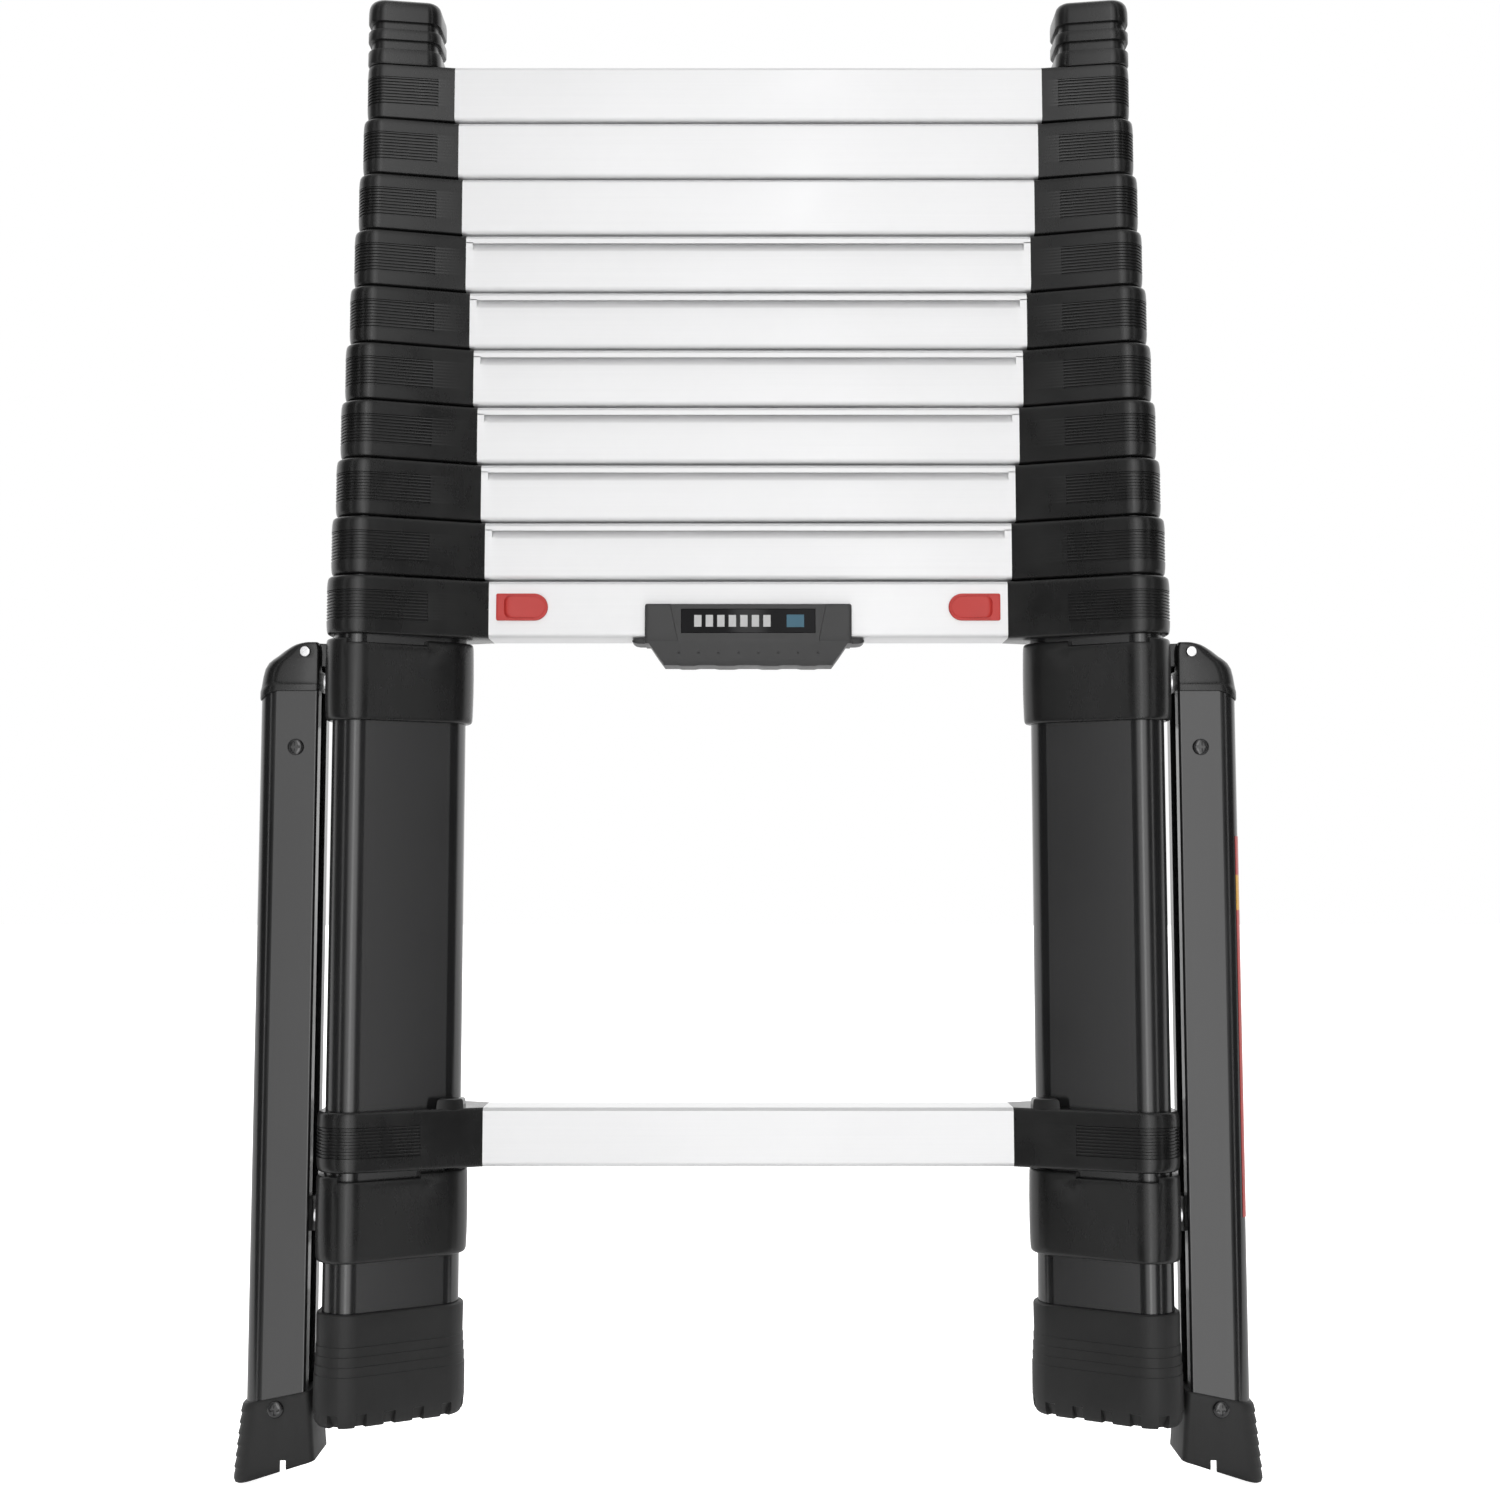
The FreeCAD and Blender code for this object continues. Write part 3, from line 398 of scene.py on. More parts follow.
def bracket_shape(node_low, node_high):
    """A collar round the outer tube, with its top edge cut down at the front."""
    plan = bracket_plan()
    height = node_high - node_low
    levels = list(BRACKET_EDGE)
    levels += [(height - z, 0.55 * inset) for z, inset in reversed(BRACKET_EDGE)]
    low_edge, high_edge = CUTAWAY
    shape = Shape()
    rings = []
    for z, inset in levels:
        ring = []
        for x, y, nx, ny in plan:
            drop = 0
            if y < 0 and low_edge < x < high_edge:
                drop = CUTAWAY_DROP * max(0, (z / height - CUTAWAY_START) / (1 - CUTAWAY_START))
            ring.append((x - nx * inset, y - ny * inset, node_low + z - drop))
        rings.append(shape.ring(ring))
    shape.skin(rings)
    seat = []
    for level, end in ((node_low, 0), (node_high, 1)):
        ring = []
        for x, y, nx, ny in plan:
            drop = CUTAWAY_DROP if end and y < 0 and low_edge < x < high_edge else 0
            ring.append((x - nx * COLLAR_WALL, y - ny * COLLAR_WALL, level - drop))
        seat.append(shape.ring(ring))
    shape.skin(seat)
    shape.skin([rings[0], seat[0]])
    shape.skin([rings[-1], seat[-1]])
    return shape


def rounded_bar(shape, outline, half, edge=0.8):
    """A bar with an outline in the XZ plane, across Y, with its long edges rounded."""
    middle = (sum(x for x, z in outline) / len(outline), sum(z for x, z in outline) / len(outline))
    sections = []
    for y, inset in ((-half, edge), (-half + 0.3 * edge, 0.3 * edge), (-half + edge, 0),
                     (half - edge, 0), (half - 0.3 * edge, 0.3 * edge), (half, edge)):
        ring = []
        for x, z in outline:
            away = math.hypot(x - middle[0], z - middle[1])
            share = max(0, 1 - inset / away)
            ring.append((middle[0] + (x - middle[0]) * share, y, middle[1] + (z - middle[1]) * share))
        sections.append(ring)
    shape.loft(sections)


def make_brackets():
    face = tube_frame(SECTIONS)[0]
    low, high = reach_of("upper_brackets")
    shape = bracket_shape(low.z, high.z)
    pin = reach_of("pivot_pins")
    level = (pin[0].z + pin[1].z) / 2
    root, tip = face + LUG_ROOT, high.x - HINGE_X
    lug = [(root, level - 9), (HINGE_X - 2, level - 7)]
    lug += [(HINGE_X + tip * across, level + tip * along)
            for _, _, across, along in arc((0, 0), 1, -75, 90, 10)]
    lug.append((root, level + 5.3))
    rounded_bar(shape, lug, LUG_HALF)
    shape.mirror()
    piece("upper_bracket_mouldings", shape.mesh("upper_bracket_mouldings"),
          finishes["black_plastic"], "base", "black_plastic", "upper_brackets")

    low, high = reach_of("lower_brackets")
    shape = bracket_shape(low.z, high.z)
    latch_low, latch_high = low.z + LATCH_RISE, high.z - LATCH_DROP
    nose = (high.x - LATCH_NOSE, (latch_low + latch_high) / 2)
    latch = [(root, latch_low), (nose[0], latch_low)]
    latch += [(nose[0] + LATCH_NOSE * across, nose[1] + (latch_high - latch_low) / 2 * along)
              for _, _, across, along in arc((0, 0), 1, -80, 80, 8)]
    latch += [(nose[0], latch_high), (root, latch_high)]
    rounded_bar(shape, latch, LATCH_HALF)
    shape.mirror()
    piece("lower_bracket_mouldings", shape.mesh("lower_bracket_mouldings"),
          finishes["black_plastic"], "base", "black_plastic", "lower_brackets")


# ---- rungs -------------------------------------------------------------------------------------

# the groove under the front lip of rungs 4 to 9
GROOVE_LIP = 4.5
GROOVE_DEPTH = 3.4
GROOVE_HEIGHT = 5.0
GROOVE_UNDERCUT = 0.7
GROOVE_MARGIN = 4.0


def rung_profile(bottom, top, depth, grooved):
    """(y, z, pull into the groove) round a rung's section, front face first from the top down."""
    front = [(depth - 1.9, top, 0), (depth - 1.5, top - 0.08, 0), (depth - 0.25, top - 1.45, 0),
             (depth, top - 1.8, 0)]
    if grooved:
        lip = top - GROOVE_LIP
        front += [(depth, lip + 0.1, 0), (depth - 0.1, lip, 0.0)]
        for step in range(9):
            share = step / 8
            pull = GROOVE_DEPTH * (1 - share) ** 1.4
            level = lip - 0.1 + GROOVE_UNDERCUT * (1 - share) - GROOVE_HEIGHT * share
            front.append((depth, level, pull))
    front += [(depth, bottom + 2.9, 0), (depth - 0.25, bottom + 2.0, 0), (depth - 0.8, bottom + 1.1, 0),
              (depth - 1.7, bottom + 0.4, 0), (depth - 2.9, bottom, 0)]
    rear = [(depth - 2.4, bottom, 0), (depth - 0.7, bottom + 0.7, 0), (depth, bottom + 2.4, 0),
            (depth, top - 2.4, 0), (depth - 0.7, top - 0.7, 0), (depth - 2.4, top, 0)]
    return [(-y, z, pull) for y, z, pull in front] + rear


def make_rung(rung):
    low, high = reach_of(f"rung_{rung}")
    grooved = rung in GROOVED_RUNGS
    profile = rung_profile(low.z, high.z, high.y, grooved)
    end = high.x
    stations = [(0.0, 0.0)]
    if grooved:
        stations.append((GROOVE_MARGIN, 0.0))
        for step in range(1, 7):
            turn = math.pi / 2 * step / 6
            stations.append((GROOVE_MARGIN + GROOVE_DEPTH * (1 - math.cos(turn)), math.sin(turn)))
    half = [(x - end, share) for x, share in stations]
    half += [(end - x, share) for x, share in reversed(stations)]
    sections = [[(x, y + pull * share, z) for y, z, pull in profile] for x, share in half]
    shape = Shape()
    shape.loft(sections)
    body = "base" if rung >= SECTIONS else f"section_{rung}"
    piece(f"rung_extrusion_{rung}", shape.mesh(f"rung_extrusion_{rung}"),
          finishes["bare_aluminium"], body, "bare_aluminium", f"rung_{rung}")


# ---- feet --------------------------------------------------------------------------------------

FOOT_STEPS = (43.2, 38.0, 32.7, 27.5)
TREAD_HEIGHT = 7.0
TREAD_BLOCKS = 16
# shares of one tread block round the foot, and whether they lie in the notch
TREAD_PLACES = ((0.02, 0), (0.2, 0), (0.4, 0), (0.58, 0), (0.64, 0), (0.66, 1), (0.82, 1), (0.98, 1))


def make_stile_feet():
    low, high = reach_of("stile_feet")
    wall = high.x - tube_frame(SECTIONS)[0]
    plan = triangle_plan(SECTIONS, wall, 40)
    height = high.z - low.z
    levels = [(0.0, 2.6, 3.6), (1.2, 1.4, 3.9), (2.8, 0.75, 3.4), (TREAD_HEIGHT, 0.35, 1.2),
              (TREAD_HEIGHT + 0.5, 0.30, 0.0), (9.0, 0.10, 0), (16.0, 0.05, 0)]
    drop = 0.10
    for step in reversed(FOOT_STEPS):
        levels += [(step - 0.15, drop, 0), (step + 0.15, drop + 0.34, 0)]
        drop += 0.30
    levels += [(46.0, 1.35, 0), (52.0, 1.25, 0), (height - 1.6, 1.15, 0), (height - 0.6, 1.35, 0),
               (height, 2.0, 0)]
    reached = [0.0]
    closing = plan + plan[:1]
    for (x, y, *_), (x2, y2, *_) in zip(closing, closing[1:]):
        reached.append(reached[-1] + math.hypot(x2 - x, y2 - y))
    around = reached[-1]
    dense = []
    for block in range(TREAD_BLOCKS):
        for place, notched in TREAD_PLACES:
            distance = (block + place) / TREAD_BLOCKS * around
            index = max(i for i, travelled in enumerate(reached) if travelled <= distance)
            share = (distance - reached[index]) / (reached[index + 1] - reached[index])
            here, there = closing[index], closing[index + 1]
            dense.append(([a + (b - a) * share for a, b in zip(here, there)], notched))
    shape = Shape()
    rings = []
    for z, inset, notch in levels:
        ring = []
        for (x, y, nx, ny), notched in dense:
            pull = inset + notch * notched
            ring.append((x - nx * pull, y - ny * pull, low.z + z))
        rings.append(shape.ring(ring))
    shape.skin(rings)
    seat = [shape.ring([(x - nx * wall, y - ny * wall, level) for (x, y, nx, ny), notched in dense])
            for level in (high.z, low.z + 8.0)]
    shape.skin(seat)
    shape.skin([rings[-1], seat[0]])
    shape.fills.append([seat[1]])
    under = shape.ring([(x - nx * 7.0, y - ny * 7.0, low.z) for (x, y, nx, ny), notched in dense])
    raised = shape.ring([(x - nx * 7.5, y - ny * 7.5, low.z + 1.6)
                         for (x, y, nx, ny), notched in dense])
    shape.skin([rings[0], under, raised])
    shape.fills.append([raised])
    shape.mirror()
    piece("rubber_stile_feet", shape.mesh("rubber_stile_feet", 28), finishes["foot_rubber"],
          "base", "foot_rubber", "stile_feet")


# ---- outriggers --------------------------------------------------------------------------------

def leg_ring(near, far, half, near_round, far_round, level, slope=0.0, steps=8):
    """Rounded rectangle round a leg; the level may lean with the distance from the near side."""
    points = (arc((near + near_round, half - near_round), near_round, 90, 180, 3)
              + arc((near + near_round, near_round - half), near_round, 180, 270, 3)
              + arc((far - far_round, far_round - half), far_round, 270, 360, steps)
              + arc((far - far_round, half - far_round), far_round, 0, 90, steps))
    return [(x, y, level + slope * (x - near)) for x, y, *_ in points]


LEG_NEAR = 247.0
LEG_ROUND = 10.5
HEAD_SKIRT = 5.0
HEAD_WALL = 0.9
PIVOT_DROP = 5.5
FORK_HALF, FORK_FAR = 8.4, 264.0
PIN_BORE = 3.35
# side of a clevis head as (height, reach past the leg, inset), first above the edge of its skirt
# and then above its pivot
SKIRT_SIDE = [(-0.3, 0.3, 0.95), (0, 0.7, 0.45), (0.6, HEAD_WALL, 0.2), (3.4, HEAD_WALL, 0.2),
              (4.4, 0.7, 0.9)]
CROWN_SIDE = [(-16.5, 0.3, 1.1), (-13.0, -0.5, 1.0), (-9.5, -1.6, 0.9), (-6.1, -3.6, 0.8),
              (-4.0, -6.0, 0.8), (-2.1, -9.0, 0.8), (0.7, -13.0, 0.8), (3.0, -17.0, 0.8),
              (4.3, -19.8, 1.0), (5.0, -22.4, 1.3), (5.5, -24.9, 1.8)]


def make_outrigger_head(side, sign):
    high = reach_of(f"outrigger_head_{side}")[1]
    leg_low, leg_high = reach_of(f"outrigger_profile_{side}")
    leg_far = max(abs(leg_low.x), abs(leg_high.x))
    leg_round = LEG_ROUND + HEAD_WALL
    half, top = high.y, high.z
    pivot = top - PIVOT_DROP
    skirt = leg_high.z
    profile = [(skirt + rise, leg_far + reach, inset) for rise, reach, inset in SKIRT_SIDE]
    profile += [(pivot + rise, leg_far + reach, inset) for rise, reach, inset in CROWN_SIDE]
    sections = []
    for level, reach, inset in profile:
        start = LEG_NEAR + max(0.0, 0.35 * (level - pivot - 2.0))
        soft = min(leg_round, (reach - start) * 0.42)
        fall = HEAD_SKIRT * max(0.0, min(1.0, (skirt + 12.0 - level) / 12.0))
        ring = []
        for x, y, z in leg_ring(start, reach, half - inset, 1.2, soft, level):
            round_corner = max(0.0, min(1.0, (x - leg_far + leg_round) / leg_round))
            ring.append((x, y, z - fall * round_corner ** 1.5))
        sections.append(ring)
    shape = Shape()
    shape.loft(sections)
    fork = box_shape((LEG_NEAR - 2, -FORK_HALF, pivot - 11), (FORK_FAR, FORK_HALF, top + 2))
    counterbore = lathe([(PIN_BORE, 0), (PIN_BORE, 3.0)], (HINGE_X, -half + 2.2, pivot), 24)
    name = f"clevis_head_{side}"
    if sign < 0:
        for part in (shape, fork, counterbore):
            part.flip()
    mesh = carved(name, shape.mesh(name), [fork, counterbore])
    piece(name, mesh, finishes["black_plastic"], f"outrigger_{side}", "black_plastic",
          f"outrigger_head_{side}")


# rim of a leg foot as (near x, near level, reach past the leg, far level, inset in depth)
FOOT_RIM = [(244.4, 51.6, 1.3, 44.0, 1.3), (244.0, 51.0, 1.9, 43.2, 0.8), (243.9, 49.6, 2.2, 42.0, 0.6)]
# how far each of those goes from the rim to the sole, and the far side's own start
FOOT_RUN = (2.7, 33.5, 3.6, 36.0, 0.5)
FOOT_SWELL = 2.6
FOOT_RIBS = 6
RIB_EDGES = ((-0.012, 0.0), (0.012, 0.75))
# sole of a leg foot as (near x, near level, far x, far level, inset in depth)
FOOT_SOLE = [(241.1, 15.5, 287.3, 5.4, 0), (241.0, 14.0, 287.5, 3.0, 0.2),
             (241.5, 13.6, 286.9, 0.8, 0.9), (242.6, 13.2, 285.6, 0.0, 2.0)]
SOLE_NOTCH = ((256.6, -30, -5), (260.4, 30, 14.5))
SOLE_HOLLOW = ((252.0, -15.5, -5), (269.0, 15.5, 16.5))


def make_outrigger_foot(side, sign):
    half = reach_of(f"outrigger_foot_{side}")[1].y
    leg_low, leg_high = reach_of(f"outrigger_profile_{side}")
    leg_far = max(abs(leg_low.x), abs(leg_high.x))
    stations = [(x1, z1, leg_far + reach, z2, half - inset) for x1, z1, reach, z2, inset in FOOT_RIM]
    near_x, near_level, _, far_level, inset = FOOT_RIM[-1]
    near_run, near_fall, far_run, far_fall, swell = FOOT_RUN
    for rib in range(FOOT_RIBS):
        for shift, pull in RIB_EDGES:
            place = (rib + 0.55) / FOOT_RIBS + shift
            stations.append((near_x - near_run * place, near_level - near_fall * place,
                             leg_far + FOOT_SWELL + far_run * place - pull,
                             far_level - far_fall * place, half - inset + swell * place))
    stations += [(x1, z1, x2, z2, half - inset) for x1, z1, x2, z2, inset in FOOT_SOLE]
    sections = []
    for x1, z1, x2, z2, depth in stations:
        lean = (z2 - z1) / (x2 - x1)
        sections.append(leg_ring(x1, x2, depth, 3.0, LEG_ROUND, z1, lean, 12))
    shape = Shape()
    shape.loft(sections)
    notch, hollow = box_shape(*SOLE_NOTCH), box_shape(*SOLE_HOLLOW)
    name = f"rubber_leg_foot_{side}"
    if sign < 0:
        for part in (shape, notch, hollow):
            part.flip()
    mesh = carved(name, shape.mesh(name, 28), [hollow, notch])
    piece(name, mesh, finishes["foot_rubber"], f"outrigger_{side}", "foot_rubber",
          f"outrigger_foot_{side}")


SCREW_RADIUS, SCREW_HEIGHT = 4.7, 1.8
SCREW_PROFILE = [(SCREW_RADIUS, 0.0), (SCREW_RADIUS, 0.5), (4.45, 1.0), (3.9, 1.45), (3.0, 1.72),
                 (1.6, SCREW_HEIGHT)]
SCREW_CROSS = (2.9, 0.75)
HEAD_SCREW = (259.3, -17.0)
FOOT_SCREW_X = 263.0


def make_outrigger_screws(side, sign):
    low, high = reach_of(f"outrigger_screws_{side}")
    centres = [(*HEAD_SCREW, high.z - SCREW_RADIUS),
               (FOOT_SCREW_X, low.y + SCREW_HEIGHT, low.z + SCREW_RADIUS)]
    whole = Shape()
    cutters = []
    for x, y, z in centres:
        head = lathe(SCREW_PROFILE, (x, y, z))
        start = len(whole.points)
        whole.points += head.points
        whole.faces += [tuple(index + start for index in face) for face in head.faces]
        whole.fills += [[[index + start for index in loop] for loop in loops] for loops in head.fills]
        for wide, tall in (SCREW_CROSS, SCREW_CROSS[::-1]):
            cutters.append(box_shape((x - wide, y - 2.4, z - tall), (x + wide, y - 0.4, z + tall)))
    if sign < 0:
        for part in (whole, *cutters):
            part.flip()
    name = f"cross_screws_{side}"
    mesh = carved(name, whole.mesh(name), cutters)
    piece(name, mesh, finishes["black_steel"], f"outrigger_{side}", "black_steel",
          f"outrigger_screws_{side}")


PIN_INSET = 0.3
SLOT_HALF = (0.6, 2.0)
SLOT_TILT = math.radians(35)


def make_pivot_pins():
    low, high = reach_of("pivot_pins")
    centre = (HINGE_X, high.y - PIN_INSET, (low.z + high.z) / 2)
    length = high.y - PIN_INSET - low.y
    shape = lathe([(2.4, 0), (2.4, length - 1.2), (3.0, length - 1.15), (3.0, length - 0.35),
                   (2.7, length - 0.05), (1.2, length)], centre)
    wide, tall = SLOT_HALF
    slot = box_shape((-wide, low.y - 1, -tall), (wide, low.y + 0.5, tall))
    across, along = math.cos(SLOT_TILT), math.sin(SLOT_TILT)
    slot.points = [(HINGE_X + x * across - z * along, y, centre[2] + x * along + z * across)
                   for x, y, z in slot.points]
    mesh = carved("pivot_pin_half", shape.mesh("pivot_pin_half"), [slot])
    both = bmesh.new()
    both.from_mesh(mesh)
    count = len(both.verts)
    made = bmesh.ops.duplicate(both, geom=both.verts[:] + both.edges[:] + both.faces[:])
    for vert in both.verts[count:]:
        vert.co.x = -vert.co.x
    bmesh.ops.reverse_faces(both, faces=[item for item in made["geom"]
                                         if isinstance(item, bmesh.types.BMFace)])
    both.to_mesh(mesh)
    both.free()
    piece("slotted_pivot_pins", mesh, finishes["plated_steel"], "base", "plated_steel", "pivot_pins")


STRIP_TURN = 44
STRIP_EDGE = 6.4
STRIP_THICK = 0.25
STRIP_GAP = 0.02
STRIP_LOW, STRIP_HIGH = 146.0, 360.0
AMBER_LOW, AMBER_HIGH = STRIP_HIGH - 42, STRIP_HIGH - 22


def make_reflective_strip():
    """Thin reflective strip on the right outrigger's outer side, bent round its front edge."""
    high = reach_of("outrigger_profile_right")[1]
    centre = (high.x - LEG_ROUND, LEG_ROUND - high.y)
    bands = [("reflective_strip_red", STRIP_LOW, AMBER_LOW, "reflector_red"),
             ("reflective_strip_amber", AMBER_LOW, AMBER_HIGH, "reflector_amber"),
             ("reflective_strip_top", AMBER_HIGH, STRIP_HIGH, "reflector_red")]
    for name, start, end, finish in bands:
        outer = arc(centre, LEG_ROUND + STRIP_THICK, -STRIP_TURN, 0, 8)
        inner = arc(centre, LEG_ROUND + STRIP_GAP, -STRIP_TURN, 0, 8)
        outer.append((high.x + STRIP_THICK, STRIP_EDGE, 1, 0))
        inner.append((high.x + STRIP_GAP, STRIP_EDGE, 1, 0))
        plan = outer + inner[::-1]
        shape = Shape()
        shape.loft([offset_ring(plan, 0, start), offset_ring(plan, 0, end)])
        piece(name, shape.mesh(name), finishes[finish], "outrigger_right", "red_plastic")


# ---- carry handle and its plate ----------------------------------------------------------------

PANEL_TOP, PANEL_FOOT = 44.8, 40.7
WINDOW = (38.5, 476.0, 490.0)


def make_carry_handle():
    low, high = reach_of("carry_handle")
    under, front, back = 474.0, low.y, high.y
    side, foot_side, bend = 59.4, 48.5, 471.4
    window_half, window_low, window_high = WINDOW

    def lower_edge(x):
        away = abs(x)
        if away <= foot_side:
            wave = 0.22 * (1 + math.copysign(1, math.sin(2 * math.pi * (away + 5.7) / 22.8)))
            return low.z + wave
        share = min(1.0, (away - foot_side) / (side - 2.4 - foot_side))
        return low.z + (bend - 1.4 - low.z) * share

    def front_at(z, panel):
        if z >= bend:
            return front + (0.0 if panel else 0.7) * min(1.0, (z - bend) / 2.0)
        return front + (bend - z) * 0.34

    def section(x, panel, window, warp, shrink=0.0):
        """One closed YZ outline; warp moves a station sideways with height."""
        edge = lower_edge(x)
        crown = high.z - shrink
        deep = 1.45 if window else 0.0
        points = [(RUNG_FRONT - 0.1, crown), (front + 1.5 + shrink, crown),
                  (front_at(crown, panel) + 0.25 + shrink, crown - 0.5),
                  (front_at(crown, panel) + shrink, crown - 1.3),
                  (front_at(window_high, panel) + shrink, window_high + 0.05),
                  (front_at(window_high, panel) + deep + shrink, window_high - 0.05),
                  (front_at(window_low, panel) + deep + shrink, window_low + 0.05),
                  (front_at(window_low, panel) + shrink, window_low - 0.05),
                  (front_at(bend + 1.8, panel) + shrink, bend + 1.8)]
        drop = bend - edge
        for share in (0.0, 0.12, 0.35, 0.7, 0.9):
            z = bend - share * max(0.6, drop)
            points.append((front_at(z, panel) + shrink, z))
        last = front_at(edge, panel)
        points += [(last + 1.0 + shrink, edge + 0.1), (last + 2.4, edge), (back - 1.4, edge),
                   (back, edge + 0.8)]
        hollow = max(0.0, min(1.0, (52.0 - abs(x)) / 2.0))
        roof = under - 2.6
        floor = min(edge + 3.0, roof)
        depth = back - hollow * 18.0
        points += [(back, floor), (depth, floor), (depth, roof), (back, roof), (back, under - 0.1),
                   (RUNG_FRONT, under - 0.1)]
        return [(x + warp(z), y, z) for y, z in points]

    def straight(z):
        return 0.0

    def slanted(direction):
        def shift(z):
            if z <= bend + 1.6:
                return 0.0
            return direction * (PANEL_TOP - PANEL_FOOT) * (z - bend - 1.6) / (high.z - bend - 1.6)
        return shift

    stations = [(side - 0.02, 0, 0, straight, 1.0), (side - 0.3, 0, 0, straight, 0.4),
                (side - 1.1, 0, 0, straight, 0.0), (side - 2.4, 0, 0, straight, 0.0),
                (foot_side + 4, 0, 0, straight, 0.0), (foot_side, 0, 0, straight, 0.0)]
    stations += [(PANEL_FOOT + 0.12, 0, 0, slanted(1), 0.0), (PANEL_FOOT - 0.12, 1, 0, slanted(1), 0.0),
                 (window_half + 0.06, 1, 0, straight, 0.0), (window_half - 0.06, 1, 1, straight, 0.0)]
    x = 36.8
    while x > 0:
        stations.append((x, 1, 1, straight, 0.0))
        x -= 2.85
    sections = [section(x, panel, window, warp, shrink) for x, panel, window, warp, shrink in stations]
    other = [[(-x, y, z) for x, y, z in ring] for ring in reversed(sections)]
    shape = Shape()
    shape.loft(sections + other)
    dots = []
    for index in range(8):
        x = -39.9 + index * 11.4
        dots.append(lathe([(0.75, 0), (0.75, 2.0)], (x, front_at(464.7, 1) + 1.0, 464.7), 12))
    mesh = carved("carry_handle_moulding", shape.mesh("carry_handle_moulding", 30), dots)
    piece("carry_handle_moulding", mesh, finishes["grey_plastic"], "base", "grey_plastic", "carry_handle")
    wings = Shape()
    for sign in (-1, 1):
        sections = []
        for x, top, bottom, reach in ((58.0, under - 0.15, 470.6, 0.6), (63.0, under - 0.15, 470.7, 0.6),
                                      (65.4, under - 0.3, 471.1, 0.9), (66.4, under - 0.7, 471.7, 1.4),
                                      (67.0, under - 1.3, 472.2, 2.2)):
            outline = [(RUNG_FRONT + reach, top), (back - reach, top),
                       (back - reach + 0.4, (top + bottom) / 2), (back - reach, bottom),
                       (RUNG_FRONT + reach, bottom), (RUNG_FRONT - 0.4 + reach, (top + bottom) / 2)]
            sections.append([(sign * x, y, z) for y, z in outline])
        wings.loft(sections)
    piece("handle_wings", wings.mesh("handle_wings"), finishes["grey_plastic"], "base", "grey_plastic")


def make_nameplate():
    """A gloss black plate with seven plain pale bars and a plain coloured patch."""
    low, high = reach_of("nameplate")
    back, face = high.y, low.y
    shape = Shape()
    middle = (low.z + high.z) / 2
    half_x, half_z = high.x, (high.z - low.z) / 2
    sections = []
    for y, inset in ((back, 0), (face + 0.35, 0), (face + 0.1, 0.15), (face + 0.02, 0.45)):
        ring = []
        for sx, sz in ((-1, -1), (1, -1), (1, 1), (-1, 1)):
            ring.append((sx * (half_x - inset), y, middle + sz * (half_z - inset)))
        sections.append(ring)
    shape.loft(sections)
    piece("plate_gloss", shape.mesh("plate_gloss"), finishes["gloss_black"], "base", "gloss_black",
          "nameplate")
    marks = {"plate_marks": ("mark_white", []), "plate_patch": ("mark_blue", [])}
    bars = marks["plate_marks"][1]
    for index in range(7):
        left = -31.0 + index * 6.6
        bars.append((left, middle - 3.4, left + 4.2, middle + 3.4))
    marks["plate_patch"][1].append((22.0, middle - 3.6, 32.0, middle + 3.6))
    for name, (finish, rectangles) in marks.items():
        shape = Shape()
        for x1, z1, x2, z2 in rectangles:
            corners = [(x1, z1), (x2, z1), (x2, z2), (x1, z2)]
            shape.loft([[(x, face + 0.02, z) for x, z in corners], [(x, face, z) for x, z in corners]])
        piece(name, shape.mesh(name), finishes[finish], "base", "gloss_black")


# ---- release sliders ---------------------------------------------------------------------------

def make_slider(side, sign):
    low, high = reach_of(f"red_button_{side}")
    far = max(abs(low.x), abs(high.x))
    near = min(abs(low.x), abs(high.x))
    bottom, top = low.z, high.z
    half = (top - bottom) / 2
    middle = (top + bottom) / 2
    back, crest = -15.8, low.y

    def outline(inset, flat=0.0, corner=1.0):
        """D-shaped outline in the XZ plane; flat draws the flat end inwards."""
        radius = half - inset
        points = arc((near + half, middle), radius, 90, 270, 16)
        edge = far - inset - flat
        points += arc((edge - corner, middle - radius + corner), corner, 270, 360, 4)
        points += arc((edge - corner, middle + radius - corner), corner, 0, 90, 4)
        return [point[:2] for point in points]

    shape = Shape()
    sections = []
    for y, inset in ((back, 0.15), (back - 0.3, 0), (back - 1.5, 0), (back - 1.85, 0.15),
                     (back - 2.0, 0.5)):
        sections.append([(x, y, z) for x, z in outline(inset)])
    shape.loft(sections)
    raised = []
    for share, inset in ((0.0, 1.3), (0.75, 1.5), (0.93, 1.8), (1.0, 2.5)):
        ring = []
        for x, z in outline(inset, 3.2 + 1.2 * share, 3.6):
            along = (x - near) / (far - near)
            height = 0.35 + (abs(crest - back) - 2.35) * min(1.0, max(0.0, along - 0.08) / 0.62)
            ring.append((x, back - 1.9 - share * height, z))
        raised.append(ring)
    shape.loft(raised)
    if sign < 0:
        shape.flip()
    name = f"release_slider_{side}"
    piece(name, shape.mesh(name, 40), finishes["red_plastic"], f"release_{side}", "red_plastic",
          f"red_button_{side}")


# ---- materials ---------------------------------------------------------------------------------

def new_finish(name, colour, roughness, metallic=0.0, specular=0.5, coat=0.0):
    material = bpy.data.materials.new(name)
    material.use_nodes = True
    shader = material.node_tree.nodes["Principled BSDF"]
    shader.inputs["Base Color"].default_value = (*colour, 1)
    shader.inputs["Roughness"].default_value = roughness
    shader.inputs["Metallic"].default_value = metallic
    shader.inputs["Specular IOR Level"].default_value = specular
    shader.inputs["Coat Weight"].default_value = coat
    return material, material.node_tree, shader


